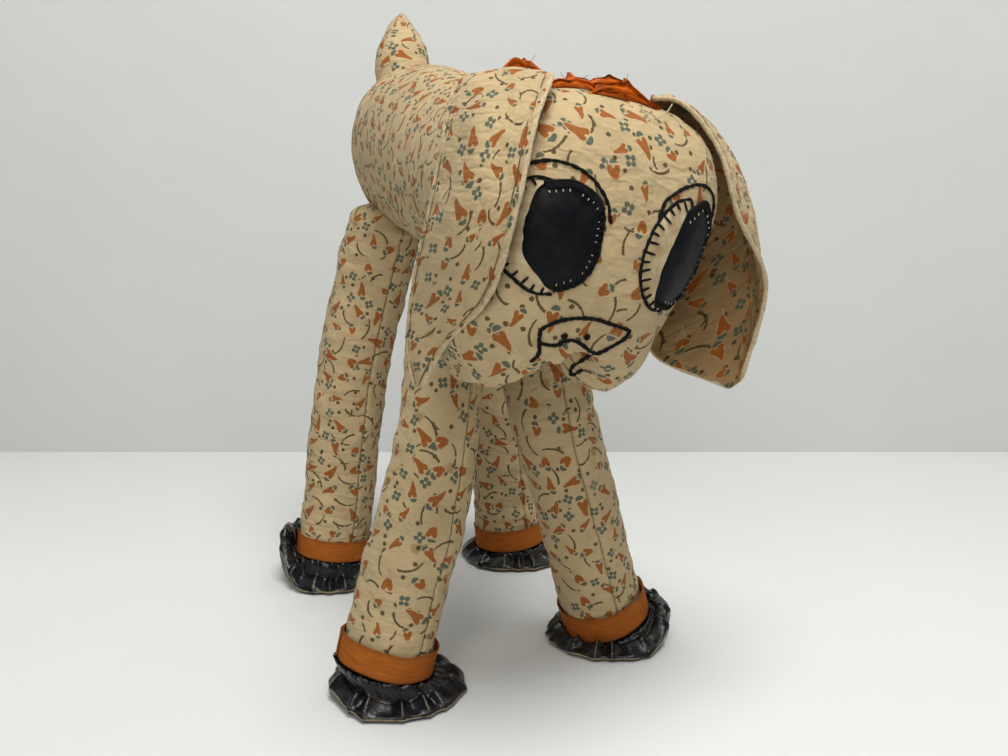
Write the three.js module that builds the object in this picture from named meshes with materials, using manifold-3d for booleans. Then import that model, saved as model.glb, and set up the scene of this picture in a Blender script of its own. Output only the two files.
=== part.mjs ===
// Stuffed cloth dog, sewn from printed cotton, standing on four gathered oilcloth feet.
// Millimetres, +Z up, the dog looks along -Y and its left side is +X.
import * as THREE from "three";
import { mergeVertices } from "three/addons/utils/BufferGeometryUtils.js";
import Module from "manifold-3d";

const wasm = await Module();
wasm.setup();

// Driving dimensions
const GAP = 0.3;                      // room between two pieces that touch
const TAPE_WIDTH = 12.7;              // half-inch orange tape round each ankle
const TAPE_THICKNESS = 1.3;
const ANKLE_RADIUS = 20.3;
const LEG_RADIUS = 20;
const FOOT_RADIUS = 32;
const FOOT_PLEATS = 12;
const PLEAT_DEPTH = 1.3;
const EAR_THICKNESS = 2.2;
const EYE_WHITE_THICKNESS = 0.7;
const PUPIL_THICKNESS = 0.8;

const COTTON = { color: 0xcbb48f, roughness: 0.92 };
const OILCLOTH_BLACK = { color: 0x17181b, roughness: 0.35 };
const OILCLOTH_CREAM = { color: 0xcdb98f, roughness: 0.6 };
const TAPE_ORANGE = { color: 0xb8602c, roughness: 0.85 };
const RIBBON_ORANGE = { color: 0xb9481b, roughness: 0.5 };

const v3 = (x, y, z) => new THREE.Vector3(x, y, z);
const rad = THREE.MathUtils.degToRad;
const smooth = THREE.MathUtils.smoothstep;

// Geometry helpers

// Only positions are kept and shared corners are merged, so that a shape is one closed skin
function closedSkin(geometry) {
  const bare = geometry.clone();
  bare.deleteAttribute("normal");
  bare.deleteAttribute("uv");
  const merged = mergeVertices(bare, 1e-4);
  merged.computeVertexNormals();
  return merged;
}

function cornersOf(skin, triangle) {
  return [0, 1, 2].map((k) => v3(0, 0, 0).fromBufferAttribute(
    skin.getAttribute("position"),
    skin.getIndex().getX(3 * triangle + k),
  ));
}

// Six times the volume inside a skin, which is negative where its faces point inwards
function signedVolume(skin) {
  let sum = 0;
  for (let i = 0; i < skin.getIndex().count / 3; i += 1) {
    const [a, b, c] = cornersOf(skin, i);
    sum += a.dot(b.cross(c));
  }
  return sum;
}

// Moves every corner of a three.js shape to where a function puts it, and turns the faces
// outwards again where that move mirrored the shape
function reshape(geometry, move) {
  const skin = closedSkin(geometry);
  const position = skin.getAttribute("position");
  for (let i = 0; i < position.count; i += 1) {
    const moved = move(v3(0, 0, 0).fromBufferAttribute(position, i));
    position.setXYZ(i, moved.x, moved.y, moved.z);
  }
  if (signedVolume(skin) < 0) {
    skin.getIndex().array.reverse();
  }
  skin.computeVertexNormals();
  return skin;
}

// The same skin, larger all round by a distance
function swollen(skin, distance) {
  const larger = skin.clone();
  const position = larger.getAttribute("position");
  const normal = larger.getAttribute("normal");
  for (let i = 0; i < position.count; i += 1) {
    position.setXYZ(
      i,
      position.getX(i) + normal.getX(i) * distance,
      position.getY(i) + normal.getY(i) * distance,
      position.getZ(i) + normal.getZ(i) * distance,
    );
  }
  return larger;
}

function solid(skin) {
  return new wasm.Manifold(new wasm.Mesh({
    numProp: 3,
    vertProperties: new Float32Array(skin.getAttribute("position").array),
    triVerts: new Uint32Array(skin.getIndex().array),
  }));
}

function skinOf(manifold) {
  const mesh = manifold.getMesh();
  const skin = new THREE.BufferGeometry();
  skin.setAttribute("position", new THREE.BufferAttribute(new Float32Array(mesh.vertProperties), 3));
  skin.setIndex(new THREE.BufferAttribute(new Uint32Array(mesh.triVerts), 1));
  return skin;
}

// What is left of one skin once its neighbours, each larger by the gap, are cut away
function cutBy(skin, ...neighbours) {
  let rest = solid(skin);
  for (const neighbour of neighbours) {
    rest = rest.subtract(solid(swollen(neighbour, GAP)));
  }
  return skinOf(rest);
}

// A smooth value between keys: rows of [position, value, value ...]
function keyed(rows, at) {
  const curves = rows[0].slice(1).map((_, k) => new THREE.SplineCurve(
    rows.map((row) => new THREE.Vector2(row[0], row[k + 1])),
  ));
  let i = 0;
  while (i < rows.length - 2 && at > rows[i + 1][0]) {
    i += 1;
  }
  const share = THREE.MathUtils.clamp((at - rows[i][0]) / (rows[i + 1][0] - rows[i][0]), 0, 1);
  return curves.map((curve) => curve.getPoint((i + share) / (rows.length - 1)).y);
}

// The two axes of a section square to a path, the first one as near to a given side as can be
function sectionAxes(path, at, side) {
  const tangent = path.getTangent(at);
  const across = side.clone().addScaledVector(tangent, -side.dot(tangent)).normalize();
  return { across, over: new THREE.Vector3().crossVectors(across, tangent) };
}

// A stuffed tube round a path. Both ends round off over a share of its length, and the
// girth rows give [position, half width, half depth] along it.
function stuffedTube({ path, girth, side, roundStart, roundEnd, rings, sides }) {
  const profile = [];
  const stepsAt = (round) => (round > 0 ? 5 : 1);
  for (let i = 0; i <= stepsAt(roundStart); i += 1) {
    const turn = (Math.PI / 2) * (i / stepsAt(roundStart));
    profile.push(new THREE.Vector2(Math.sin(turn), roundStart * (1 - Math.cos(turn))));
  }
  for (let i = 1; i < rings; i += 1) {
    profile.push(new THREE.Vector2(1, roundStart + (1 - roundStart - roundEnd) * (i / rings)));
  }
  for (let i = 0; i <= stepsAt(roundEnd); i += 1) {
    const turn = (Math.PI / 2) * (i / stepsAt(roundEnd));
    profile.push(new THREE.Vector2(Math.cos(turn), 1 - roundEnd * (1 - Math.sin(turn))));
  }
  profile[0].x = 0;
  profile[profile.length - 1].x = 0;
  return reshape(new THREE.LatheGeometry(profile, sides), (p) => {
    const at = THREE.MathUtils.clamp(p.y, 0, 1);
    const [halfWidth, halfDepth] = keyed(girth, at);
    const centre = path.getPoint(at);
    const { across, over } = sectionAxes(path, at, side);
    return centre.addScaledVector(across, p.x * halfWidth).addScaledVector(over, p.z * halfDepth);
  });
}

// Torso: a stuffed tube from the rump down to the lower chest, thickest at the rump
const torsoPath = new THREE.CatmullRomCurve3([
  v3(-2, -44, 222),
  v3(-2, 45, 231),
  v3(-3, 110, 241),
  v3(-3, 191, 247),
]);
const torsoGirth = [
  [0, 36, 40],
  [0.3, 37, 43],
  [0.65, 38, 45],
  [1, 38, 47],
];
const torsoWhole = stuffedTube({
  path: torsoPath, girth: torsoGirth, side: v3(1, 0, 0),
  roundStart: 0.16, roundEnd: 0.2, rings: 5, sides: 24,
});

// Tail: a short fat cone, sewn to the top of the rump
const tailWhole = stuffedTube({
  path: new THREE.CatmullRomCurve3([v3(-6, 158, 272), v3(-6, 170, 290), v3(-4, 180, 306), v3(-2, 187, 322)]),
  girth: [[0, 14, 14], [0.35, 16, 16], [0.7, 10.5, 10.5], [1, 5, 5]],
  side: v3(1, 0, 0),
  roundStart: 0.1, roundEnd: 0.14, rings: 4, sides: 14,
});

// Head: a stuffed form with a broad crown and two jowls, which part below the nose
const HEAD_PLACE = { centre: v3(0, -58, 206), roll: rad(10), pitch: rad(6), yaw: rad(6) };
const HEAD_FRONT = 44;
const HEAD_BACK = 36;
const HEAD_FULLNESS = 2.35;           // 2 would be an ellipse, more is a fuller pillow
const CLEFT_DEPTH = 26;
const CLEFT_HALF_ANGLE = rad(26);
// The head's outline seen from the front: rows of angle from the horizontal, radius on the
// dog's left and radius on its right. The right jowl is the fuller one.
const headOutline = [
  [-90, 62, 62], [-71, 64, 66], [-55, 62, 67], [-38, 54.5, 61], [-20, 52.5, 54], [-5, 55.5, 50],
  [11, 60, 50], [25, 66, 52], [43, 70, 57], [60, 66.5, 60], [73, 61.5, 60], [90, 59, 59],
];
const headTurn = new THREE.Matrix4()
  .makeTranslation(HEAD_PLACE.centre)
  .multiply(new THREE.Matrix4().makeRotationZ(HEAD_PLACE.yaw))
  .multiply(new THREE.Matrix4().makeRotationY(HEAD_PLACE.roll))
  .multiply(new THREE.Matrix4().makeRotationX(HEAD_PLACE.pitch));

function headRadius(angle) {
  const degrees = THREE.MathUtils.radToDeg(angle);
  const onRight = Math.abs(degrees) > 90;
  const steepness = onRight ? Math.sign(degrees) * 180 - degrees : degrees;
  return keyed(headOutline, steepness)[onRight ? 1 : 0];
}

// A point of the head's skin, by a direction from its middle
function headPoint(direction) {
  const angle = Math.atan2(direction.z, direction.x);
  const rim = Math.hypot(direction.x, direction.z);
  const fromCleft = Math.abs(Math.atan2(Math.cos(angle), -Math.sin(angle)));
  const notch = CLEFT_DEPTH * (1 - smooth(fromCleft, 0, CLEFT_HALF_ANGLE)) * smooth(rim, 0.5, 0.92);
  const power = 2 / HEAD_FULLNESS;
  const radius = headRadius(angle) * rim ** power - notch;
  const depth = direction.y < 0 ? -HEAD_FRONT : HEAD_BACK;
  return v3(
    radius * Math.cos(angle),
    depth * Math.abs(direction.y) ** power,
    radius * Math.sin(angle),
  );
}

const headWhole = reshape(new THREE.SphereGeometry(1, 40, 20), (p) => headPoint(p).applyMatrix4(headTurn));

// Eyes: a cream patch and a black pupil on it, each a piece of the head's skin, lifted off it
function eyePatch(middle, halfSize, tilt, inside, outside) {
  const outline = new THREE.Shape();
  outline.absellipse(middle.x, middle.y, halfSize.x, halfSize.y, 0, 2 * Math.PI, false, tilt);
  const punch = new THREE.ExtrudeGeometry(outline, { depth: 60, bevelEnabled: false, curveSegments: 9 });
  const forward = reshape(punch, (p) => v3(p.x, -10 - p.z, p.y).applyMatrix4(headTurn));
  const layer = solid(swollen(headWhole, outside)).subtract(solid(swollen(headWhole, inside)));
  return skinOf(layer.intersect(solid(forward)));
}

const WHITE_HALF_SIZE = new THREE.Vector2(17, 20);
const PUPIL_HALF_SIZE = new THREE.Vector2(13, 19.5);
const PUPIL_SHIFT = new THREE.Vector2(4, 0.5);
const EYES = {
  right: { middle: new THREE.Vector2(-25, 5), tilt: rad(0) },
  left: { middle: new THREE.Vector2(29.5, 5.5), tilt: rad(-8) },
};
const WHITE_TOP = GAP + EYE_WHITE_THICKNESS;
const PUPIL_BASE = WHITE_TOP + GAP;

// Legs: one path each, from inside the torso to the ankle. Each foot lies a little off the
// end of its leg, and on some its rim stands up beside the ankle.
const LEGS = {
  front_right: {
    points: [v3(-22, 6, 212), v3(-30, 1, 168), v3(-36, -6, 130), v3(-44, -9, 91), v3(-55, -10, 54), v3(-65, -10, 14)],
    foot: new THREE.Vector2(-60.5, -10), rimRise: 4, rimSide: rad(150),
  },
  front_left: {
    points: [v3(15, 7, 212), v3(13, 3, 168), v3(18, 0, 130), v3(29, 3, 91), v3(41, 7, 54), v3(54, 11, 10)],
    foot: new THREE.Vector2(56, 10), rimRise: 14, rimSide: rad(10),
  },
  hind_right: {
    points: [v3(-23, 138, 214), v3(-31, 140, 184), v3(-42, 142, 140), v3(-50, 143, 95), v3(-55, 143, 51), v3(-60, 141, 13.5)],
    foot: new THREE.Vector2(-61, 141), rimRise: 24, rimSide: rad(140),
  },
  hind_left: {
    points: [v3(16, 136, 214), v3(22, 138, 184), v3(32, 138, 140), v3(40, 138, 95), v3(44, 138, 51), v3(48, 137, 9.5)],
    foot: new THREE.Vector2(50, 137), rimRise: 3, rimSide: rad(30),
  },
};
const legGirth = [
  [0, 21, 21],
  [0.25, LEG_RADIUS + 0.6, LEG_RADIUS + 0.6],
  [0.6, LEG_RADIUS, LEG_RADIUS],
  [0.9, ANKLE_RADIUS, ANKLE_RADIUS],
  [1, ANKLE_RADIUS, ANKLE_RADIUS],
];

function legSkin(path) {
  return stuffedTube({
    path, girth: legGirth, side: v3(1, 0, 0), roundStart: 0.1, roundEnd: 0, rings: 8, sides: 16,
  });
}

// Tape: a flat band that follows the last stretch of the leg
const TAPE_INNER = ANKLE_RADIUS + 2 * GAP;
const COLLAR_RADIUS = TAPE_INNER + TAPE_THICKNESS;

function tapeSkin(path) {
  const profile = [
    new THREE.Vector2(TAPE_INNER, 0),
    new THREE.Vector2(COLLAR_RADIUS, 0),
    new THREE.Vector2(COLLAR_RADIUS, TAPE_WIDTH),
    new THREE.Vector2(TAPE_INNER, TAPE_WIDTH),
    new THREE.Vector2(TAPE_INNER, 0),
  ];
  const length = path.getLength();
  return reshape(new THREE.LatheGeometry(profile, 24), (p) => {
    const at = 1 - p.y / length;
    const { across, over } = sectionAxes(path, at, v3(1, 0, 0));
    return path.getPointAt(at).addScaledVector(across, p.x).addScaledVector(over, p.z);
  });
}

// Foot: a gathered disc that lies flat on the ground. Its top rises to the slanted end of
// the leg, its rim is drawn into pleats, and one side of the rim may stand up.
const footRows = [
  { radius: 0, height: 0, rise: 0, pleat: 0 },
  { radius: FOOT_RADIUS - 6, height: 0, rise: 0, pleat: 0.3 },
  { radius: FOOT_RADIUS - 1, height: 0.8, rise: 0.85, pleat: 1 },
  { radius: FOOT_RADIUS, height: 2.8, rise: 1, pleat: 1 },
  { radius: FOOT_RADIUS - 1.5, height: 5, rise: 1, pleat: 1 },
  { radius: COLLAR_RADIUS + 3, height: 1.2, rise: 0.45, pleat: 0.7, onSlant: true },
  { radius: COLLAR_RADIUS, height: 0, rise: 0, pleat: 0.2, onSlant: true },
  { radius: 0, height: 0, rise: 0, pleat: 0, onSlant: true },
];

function footSkin(path, { foot, rimRise, rimSide }) {
  const ankle = path.getPoint(1);
  const axis = path.getTangent(1);
  const slant = (x, y) => ankle.z - (axis.x * (x - ankle.x) + axis.y * (y - ankle.y)) / axis.z - GAP;
  const profile = footRows.map((row, i) => new THREE.Vector2(row.radius, i));
  return reshape(new THREE.LatheGeometry(profile, FOOT_PLEATS * 3), (p) => {
    const row = footRows[Math.round(p.y)];
    const angle = Math.atan2(-p.z, p.x);
    const standing = smooth(Math.cos(angle - rimSide), 0, 1);
    const pleat = PLEAT_DEPTH * row.pleat * Math.cos(FOOT_PLEATS * angle);
    const radius = row.radius * (1 - 0.08 * standing * row.rise) + pleat;
    const base = row.onSlant ? ankle : v3(foot.x, foot.y, 0);
    const x = base.x + radius * Math.cos(angle);
    const y = base.y + radius * Math.sin(angle);
    const floor = row.onSlant ? slant(x, y) : 0;
    return v3(x, y, floor + row.height + (row.onSlant ? 0.2 : 1) * rimRise * row.rise * standing);
  });
}

// Ears: two-layer flaps. Each row crosses the ear from its front edge to its rear edge, and
// the rows run from the seam on the crown to the tip.
function earSkin(rows) {
  const across = 6;
  const down = 13;
  const rowCurves = rows.map((row) => new THREE.CatmullRomCurve3(row));
  const middle = (u, v) => new THREE.CatmullRomCurve3(rowCurves.map((curve) => curve.getPoint(u))).getPoint(v);
  return reshape(new THREE.BoxGeometry(1, 1, 1, across, down, 1), (p) => {
    const u = p.x + 0.5;
    const v = p.y + 0.5;
    const step = 0.01;
    const alongU = middle(Math.min(u + step, 1), v).sub(middle(Math.max(u - step, 0), v));
    const alongV = middle(u, Math.min(v + step, 1)).sub(middle(u, Math.max(v - step, 0)));
    const normal = new THREE.Vector3().crossVectors(alongU, alongV).normalize();
    const edge = Math.min(1, 0.5 + 4 * Math.min(u, 1 - u));
    return middle(u, v).addScaledVector(normal, p.z * EAR_THICKNESS * edge);
  });
}

const earRightRows = [
  [v3(-9, -58, 268), v3(-23, -46, 268), v3(-35, -34, 263)],
  [v3(-13, -80, 268), v3(-26, -66, 271.5), v3(-40, -48, 267)],
  [v3(-26, -98, 251), v3(-40, -91, 251), v3(-48, -62, 251)],
  [v3(-35, -104, 222), v3(-48, -96, 222), v3(-55, -64, 222)],
  [v3(-42, -95, 191), v3(-53, -82, 191), v3(-60, -56, 192)],
  [v3(-52, -70, 169), v3(-58, -64, 168), v3(-62, -52, 166)],
  [v3(-59, -62, 152), v3(-60, -60, 151), v3(-61, -58, 151)],
];
const earLeftRows = [
  [v3(36, -63, 262), v3(42, -50, 262), v3(46, -38, 257)],
  [v3(44, -73, 260), v3(55, -55, 260), v3(60, -34, 251)],
  [v3(57, -80, 243), v3(73, -58, 242), v3(70, -26, 230)],
  [v3(66, -82, 217), v3(88, -56, 211), v3(73, -24, 194)],
  [v3(88, -70, 187), v3(90, -54, 177), v3(54, -31, 156)],
  [v3(86, -57, 143), v3(85, -55, 141), v3(83, -53, 139)],
];

// Ribbon: a crumpled strip along the crown between the ears, in frills of uneven height
const RIBBON = { fromAngle: rad(116), toAngle: rad(64), halfWidth: 0.17, slantBack: 0.22 };

function headDirection(angle, y) {
  const rim = Math.sqrt(1 - y * y);
  return v3(rim * Math.cos(angle), y, rim * Math.sin(angle));
}

function aboveHead(angle, y, lift) {
  const step = 0.02;
  const place = headPoint(headDirection(angle, y));
  const round = headPoint(headDirection(angle + step, y)).sub(place);
  const back = headPoint(headDirection(angle, y + step)).sub(place);
  const outward = new THREE.Vector3().crossVectors(back, round).normalize();
  return place.addScaledVector(outward, lift).applyMatrix4(headTurn);
}

function ribbonHeight(u) {
  const leftFrill = 7 * Math.exp(-(((u - 0.2) / 0.16) ** 2));
  const rightFrill = 4 * Math.exp(-(((u - 0.78) / 0.2) ** 2));
  return 2.2 + leftFrill + rightFrill + 0.8 * Math.cos(u * 40);
}

const ribbonStrip = reshape(new THREE.BoxGeometry(1, 1, 1, 20, 1, 2), (p) => {
  const u = p.x + 0.5;
  const angle = RIBBON.fromAngle + (RIBBON.toAngle - RIBBON.fromAngle) * u;
  const across = p.z * 2;
  const y = RIBBON.slantBack * (1 - u) + across * RIBBON.halfWidth;
  const crown = 1 - 0.6 * Math.abs(across) ** 2;
  return aboveHead(angle, y, p.y > 0 ? GAP + 0.4 + ribbonHeight(u) * crown : GAP + 0.4);
});

// Assembly
const dog = new THREE.Group();

function addPiece(name, skin, finish) {
  const geometry = skin.toNonIndexed();
  geometry.computeVertexNormals();
  const mesh = new THREE.Mesh(geometry, new THREE.MeshStandardMaterial({ metalness: 0, ...finish }));
  mesh.name = name;
  dog.add(mesh);
}

const earRight = earSkin(earRightRows);
const earLeft = earSkin(earLeftRows);
addPiece("head", headWhole, COTTON);
addPiece("torso", cutBy(torsoWhole, headWhole), COTTON);
addPiece("tail", cutBy(tailWhole, torsoWhole), COTTON);
addPiece("ear_right", cutBy(earRight, headWhole, torsoWhole), COTTON);
addPiece("ear_left", cutBy(earLeft, headWhole, torsoWhole), COTTON);
addPiece("ribbon", cutBy(ribbonStrip, earRight, earLeft), RIBBON_ORANGE);

for (const [side, { middle, tilt }] of Object.entries(EYES)) {
  const pupilMiddle = middle.clone().add(PUPIL_SHIFT);
  const white = eyePatch(middle, WHITE_HALF_SIZE, tilt, GAP, WHITE_TOP);
  const pupil = eyePatch(pupilMiddle, PUPIL_HALF_SIZE, tilt, PUPIL_BASE, PUPIL_BASE + PUPIL_THICKNESS);
  addPiece(`eye_white_${side}`, white, OILCLOTH_CREAM);
  addPiece(`pupil_${side}`, pupil, OILCLOTH_BLACK);
}

const legsSoFar = [];
for (const [place, stance] of Object.entries(LEGS)) {
  const path = new THREE.CatmullRomCurve3(stance.points);
  const leg = cutBy(legSkin(path), torsoWhole, headWhole, ...legsSoFar);
  addPiece(`leg_${place}`, leg, COTTON);
  legsSoFar.push(legSkin(path));
  addPiece(`ankle_band_${place}`, tapeSkin(path), TAPE_ORANGE);
  addPiece(`foot_${place}`, footSkin(path, stance), OILCLOTH_BLACK);
}

// The origin is on the ground, under the middle of the dog's box
const box = new THREE.Box3().setFromObject(dog);
dog.position.set(-(box.min.x + box.max.x) / 2, -(box.min.y + box.max.y) / 2, -box.min.z);

export default dog;
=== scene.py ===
"""A stuffed cloth dog, sewn from printed cotton, with oilcloth eyes and gathered feet.

Sizes in the tables below are millimetres in the pattern's own frame: the dog looks along -Y,
its left side is +X, and the ground is Z = 0. SHIFT moves them to the CAD frame.
"""
import math

import bmesh
import bpy
from mathutils import Euler, Matrix, Vector, noise
from mathutils.bvhtree import BVHTree
from mathutils.kdtree import KDTree


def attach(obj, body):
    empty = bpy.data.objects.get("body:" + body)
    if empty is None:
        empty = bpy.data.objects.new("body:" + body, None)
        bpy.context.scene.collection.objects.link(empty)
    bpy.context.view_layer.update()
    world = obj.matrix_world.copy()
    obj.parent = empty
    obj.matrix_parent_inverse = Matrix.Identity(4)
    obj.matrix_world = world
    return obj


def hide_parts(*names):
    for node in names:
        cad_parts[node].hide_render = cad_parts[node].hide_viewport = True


bl_info = {
    "name": "Stuffed Cloth Dog",
    "version": (1, 0, 0),
    "blender": (4, 5, 0),
    "location": "3D View > Sidebar > Cloth Dog",
    "description": "Sews a stuffed calico dog with hanging ears and gathered oilcloth feet",
    "category": "Object",
}

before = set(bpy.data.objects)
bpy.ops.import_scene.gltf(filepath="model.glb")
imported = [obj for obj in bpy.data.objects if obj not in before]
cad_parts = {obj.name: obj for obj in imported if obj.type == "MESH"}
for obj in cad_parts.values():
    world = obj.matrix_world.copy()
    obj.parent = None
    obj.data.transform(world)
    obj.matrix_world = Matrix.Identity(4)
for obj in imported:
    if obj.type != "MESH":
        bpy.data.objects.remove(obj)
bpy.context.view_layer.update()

MM = 0.001
SHIFT = Vector((0.27254, -43.08626, 0.0))
TAU = 2 * math.pi

# the camera, fitted to the photograph: lens and sensor in millimetres, the rest in pixels
LENS = 39.0
SENSOR = 36.0
PHOTO_WIDTH = 1008
PHOTO_MIDDLE = (521, 378)
PHOTO_FOCUS = LENS / SENSOR * PHOTO_WIDTH


# Settings a user would change

def millimetres(name, meaning, default, low, high):
    return bpy.props.FloatProperty(
        name=name, description=f"{meaning}, in millimetres", default=default, min=low, max=high)


def colour(name, meaning, default):
    return bpy.props.FloatVectorProperty(
        name=name, description=meaning, subtype="COLOR", size=4, min=0.0, max=1.0, default=(*default, 1.0))


class ClothDogSettings(bpy.types.PropertyGroup):
    """Sizes and colours of the dog"""

    leg_radius: millimetres("Leg radius", "Half the thickness of a stuffed leg", 20.0, 15.0, 24.0)
    tape_width: millimetres("Tape width", "Width of the tape round each ankle", 12.7, 6.0, 20.0)
    foot_radius: millimetres("Foot radius", "Outer radius of a gathered foot", 32.0, 26.0, 36.0)
    ear_thickness: millimetres("Ear thickness", "Two layers of cotton sewn together", 1.7, 0.8, 3.0)
    thread_radius: millimetres("Thread radius", "Radius of the embroidery thread", 0.78, 0.2, 1.2)
    print_spacing: millimetres("Print spacing", "Distance between two trumpet motifs", 12.8, 10.0, 40.0)
    cotton_colour: colour("Cotton", "Ground colour of the printed cotton", (0.43, 0.325, 0.178))
    orange_colour: colour("Orange print", "Colour of the trumpet motifs", (0.248, 0.057, 0.002))
    teal_colour: colour("Teal print", "Colour of the caps and flowers", (0.031, 0.072, 0.060))
    brown_colour: colour("Brown print", "Colour of the stems and dots", (0.030, 0.014, 0.001))


# Curves and sections

def keyed(rows, at):
    """Smooth values between rows of (position, value, value ...)"""
    i = 0
    while i < len(rows) - 2 and at > rows[i + 1][0]:
        i += 1
    t = min(max((at - rows[i][0]) / (rows[i + 1][0] - rows[i][0]), 0.0), 1.0)
    before, here = rows[max(i - 1, 0)], rows[i]
    there, after = rows[i + 1], rows[min(i + 2, len(rows) - 1)]
    values = []
    for k in range(1, len(here)):
        rise_here = (there[k] - before[k]) / 2
        rise_there = (after[k] - here[k]) / 2
        values.append(
            (2 * here[k] - 2 * there[k] + rise_here + rise_there) * t ** 3
            + (-3 * here[k] + 3 * there[k] - 2 * rise_here - rise_there) * t ** 2
            + rise_here * t + here[k])
    return values


def along(points, at):
    """A point of the rounded curve through some points, at a share of its length"""
    last = len(points) - 1
    i = min(int(last * at), last - 1)
    t = last * at - i
    here, there = points[i], points[i + 1]
    before = points[i - 1] if i > 0 else here * 2 - there
    after = points[i + 2] if i + 2 <= last else there * 2 - here
    step_in = max(math.sqrt((here - before).length), 1e-4)
    step = max(math.sqrt((there - here).length), 1e-4)
    step_out = max(math.sqrt((after - there).length), 1e-4)
    slope = (
        (here - before) / step_in - (there - before) / (step_in + step) + (there - here) / step) * step
    slope_out = (
        (there - here) / step - (after - here) / (step + step_out) + (after - there) / step_out) * step
    return (
        (here * 2 - there * 2 + slope + slope_out) * t ** 3
        + (here * -3 + there * 3 - slope * 2 - slope_out) * t ** 2
        + slope * t + here)


def section_axes(points, at):
    """The middle of a tube's section and its two axes, the first as near to X as can be"""
    low, high = max(at - 0.002, 0.0), min(at + 0.002, 1.0)
    tangent = (along(points, high) - along(points, low)).normalized()
    across = Vector((1, 0, 0))
    across = (across - tangent * across.dot(tangent)).normalized()
    return along(points, at), across, across.cross(tangent), tangent


def smooth(value, low, high):
    t = min(max((value - low) / (high - low), 0.0), 1.0)
    return t * t * (3 - 2 * t)


def bump(value, middle, width):
    return math.exp(-((value - middle) / width) ** 2)


def ripple(x, y, z, scale, octaves=2):
    """Soft noise from -1 to 1, which is the same on every run"""
    return noise.fractal(Vector((x, y, z)) / scale, 0.8, 2.0, octaves)


def ring_ripple(angle, radius, run, scale):
    """Soft noise round a tube, without a jump where the angle starts again"""
    return ripple(math.cos(angle) * radius, math.sin(angle) * radius, run, scale)


def to_frame(point):
    return (point + SHIFT) * MM


def from_frame(point):
    return point / MM - SHIFT


def sphere_row(height, rows):
    """The row of a unit sphere that a vertex stands in, counted from the top"""
    return round(math.acos(max(-1.0, min(1.0, height))) / math.pi * rows)


# Objects

def map_cloth(bm, flat):
    """Lays out the cloth map, from a place in millimetres for each vertex"""
    uv = bm.loops.layers.uv.new("Cloth")
    for face in bm.faces:
        for loop in face.loops:
            x, y = flat[loop.vert]
            loop[uv].uv = (x * MM, y * MM)


def shift_print(piece, sideways, lengthways):
    """Moves the print on a piece, so that no two pieces are cut from the same spot"""
    for loop in piece.data.uv_layers["Cloth"].data:
        loop.uv = (loop.uv[0] + sideways * MM, loop.uv[1] + lengthways * MM)


def link_mesh(bm, name, finish):
    mesh = bpy.data.meshes.new(name)
    bm.to_mesh(mesh)
    bm.free()
    mesh.materials.append(finish)
    piece = bpy.data.objects.new(name, mesh)
    bpy.context.scene.collection.objects.link(piece)
    return piece


def finish_piece(bm, name, finish, body_nodes=()):
    """Turns a bmesh in pattern millimetres into a finished piece of the CAD frame"""
    for vert in bm.verts:
        vert.co = to_frame(vert.co)
    bmesh.ops.recalc_face_normals(bm, faces=bm.faces)
    piece = link_mesh(bm, name, material(finish))
    for face in piece.data.polygons:
        face.use_smooth = True
    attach(piece, "root")
    if body_nodes:
        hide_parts(*body_nodes)
    return piece


def add_rounding(piece):
    rounding = piece.modifiers.new("Rounding", "SUBSURF")
    rounding.levels = 1
    rounding.render_levels = 1


def add_thickness(piece, name, thickness, offset=0.0):
    wall = piece.modifiers.new(name, "SOLIDIFY")
    wall.thickness = thickness * MM
    wall.offset = offset
    return wall


def apply_modifiers(piece):
    graph = bpy.context.evaluated_depsgraph_get()
    baked = bpy.data.meshes.new_from_object(piece.evaluated_get(graph))
    piece.modifiers.clear()
    piece.data = baked


# how long the filling is simulated, and the grain of the coarse copy in millimetres
SIMULATED_FRAMES = 20
COARSE_CLOTH = 5


def stuff_with_filling(piece, pressure, furthest):
    """Blows a coarse copy of a closed cloth skin up, as its filling does, and moves the skin with
    it, no further than the furthest move in millimetres"""
    scene = bpy.context.scene
    skin = bpy.data.objects.new(f"{piece.name}_coarse", piece.data.copy())
    scene.collection.objects.link(skin)
    even = skin.modifiers.new("Even cloth", "REMESH")
    even.mode = "VOXEL"
    even.voxel_size = COARSE_CLOTH * MM
    apply_modifiers(skin)
    start = [vert.co.copy() for vert in skin.data.vertices]
    cloth = skin.modifiers.new("Filling", "CLOTH")
    settings = cloth.settings
    settings.quality = 4
    settings.mass = 0.15
    settings.tension_stiffness = 25
    settings.compression_stiffness = 12
    settings.shear_stiffness = 6
    settings.bending_stiffness = 0.6
    settings.use_pressure = True
    settings.uniform_pressure_force = pressure
    settings.effector_weights.gravity = 0.0
    cloth.point_cache.frame_start = 1
    cloth.point_cache.frame_end = SIMULATED_FRAMES
    for step in range(1, SIMULATED_FRAMES + 1):
        scene.frame_set(step)
    apply_modifiers(skin)
    scene.frame_set(1)
    moves = [vert.co - before for vert, before in zip(skin.data.vertices, start)]
    bpy.data.objects.remove(skin)
    near = KDTree(len(start))
    for i, spot in enumerate(start):
        near.insert(spot, i)
    near.balance()
    for vert in piece.data.vertices:
        closest = near.find_n(vert.co, 5)
        shares = [1 / (distance + MM) ** 2 for _, _, distance in closest]
        weighted = (moves[i] * share for (_, i, _), share in zip(closest, shares))
        moved = sum(weighted, Vector()) / sum(shares)
        if moved.length > furthest * MM:
            moved = moved.normalized() * furthest * MM
        vert.co = vert.co + moved


# Shader nodes

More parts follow.
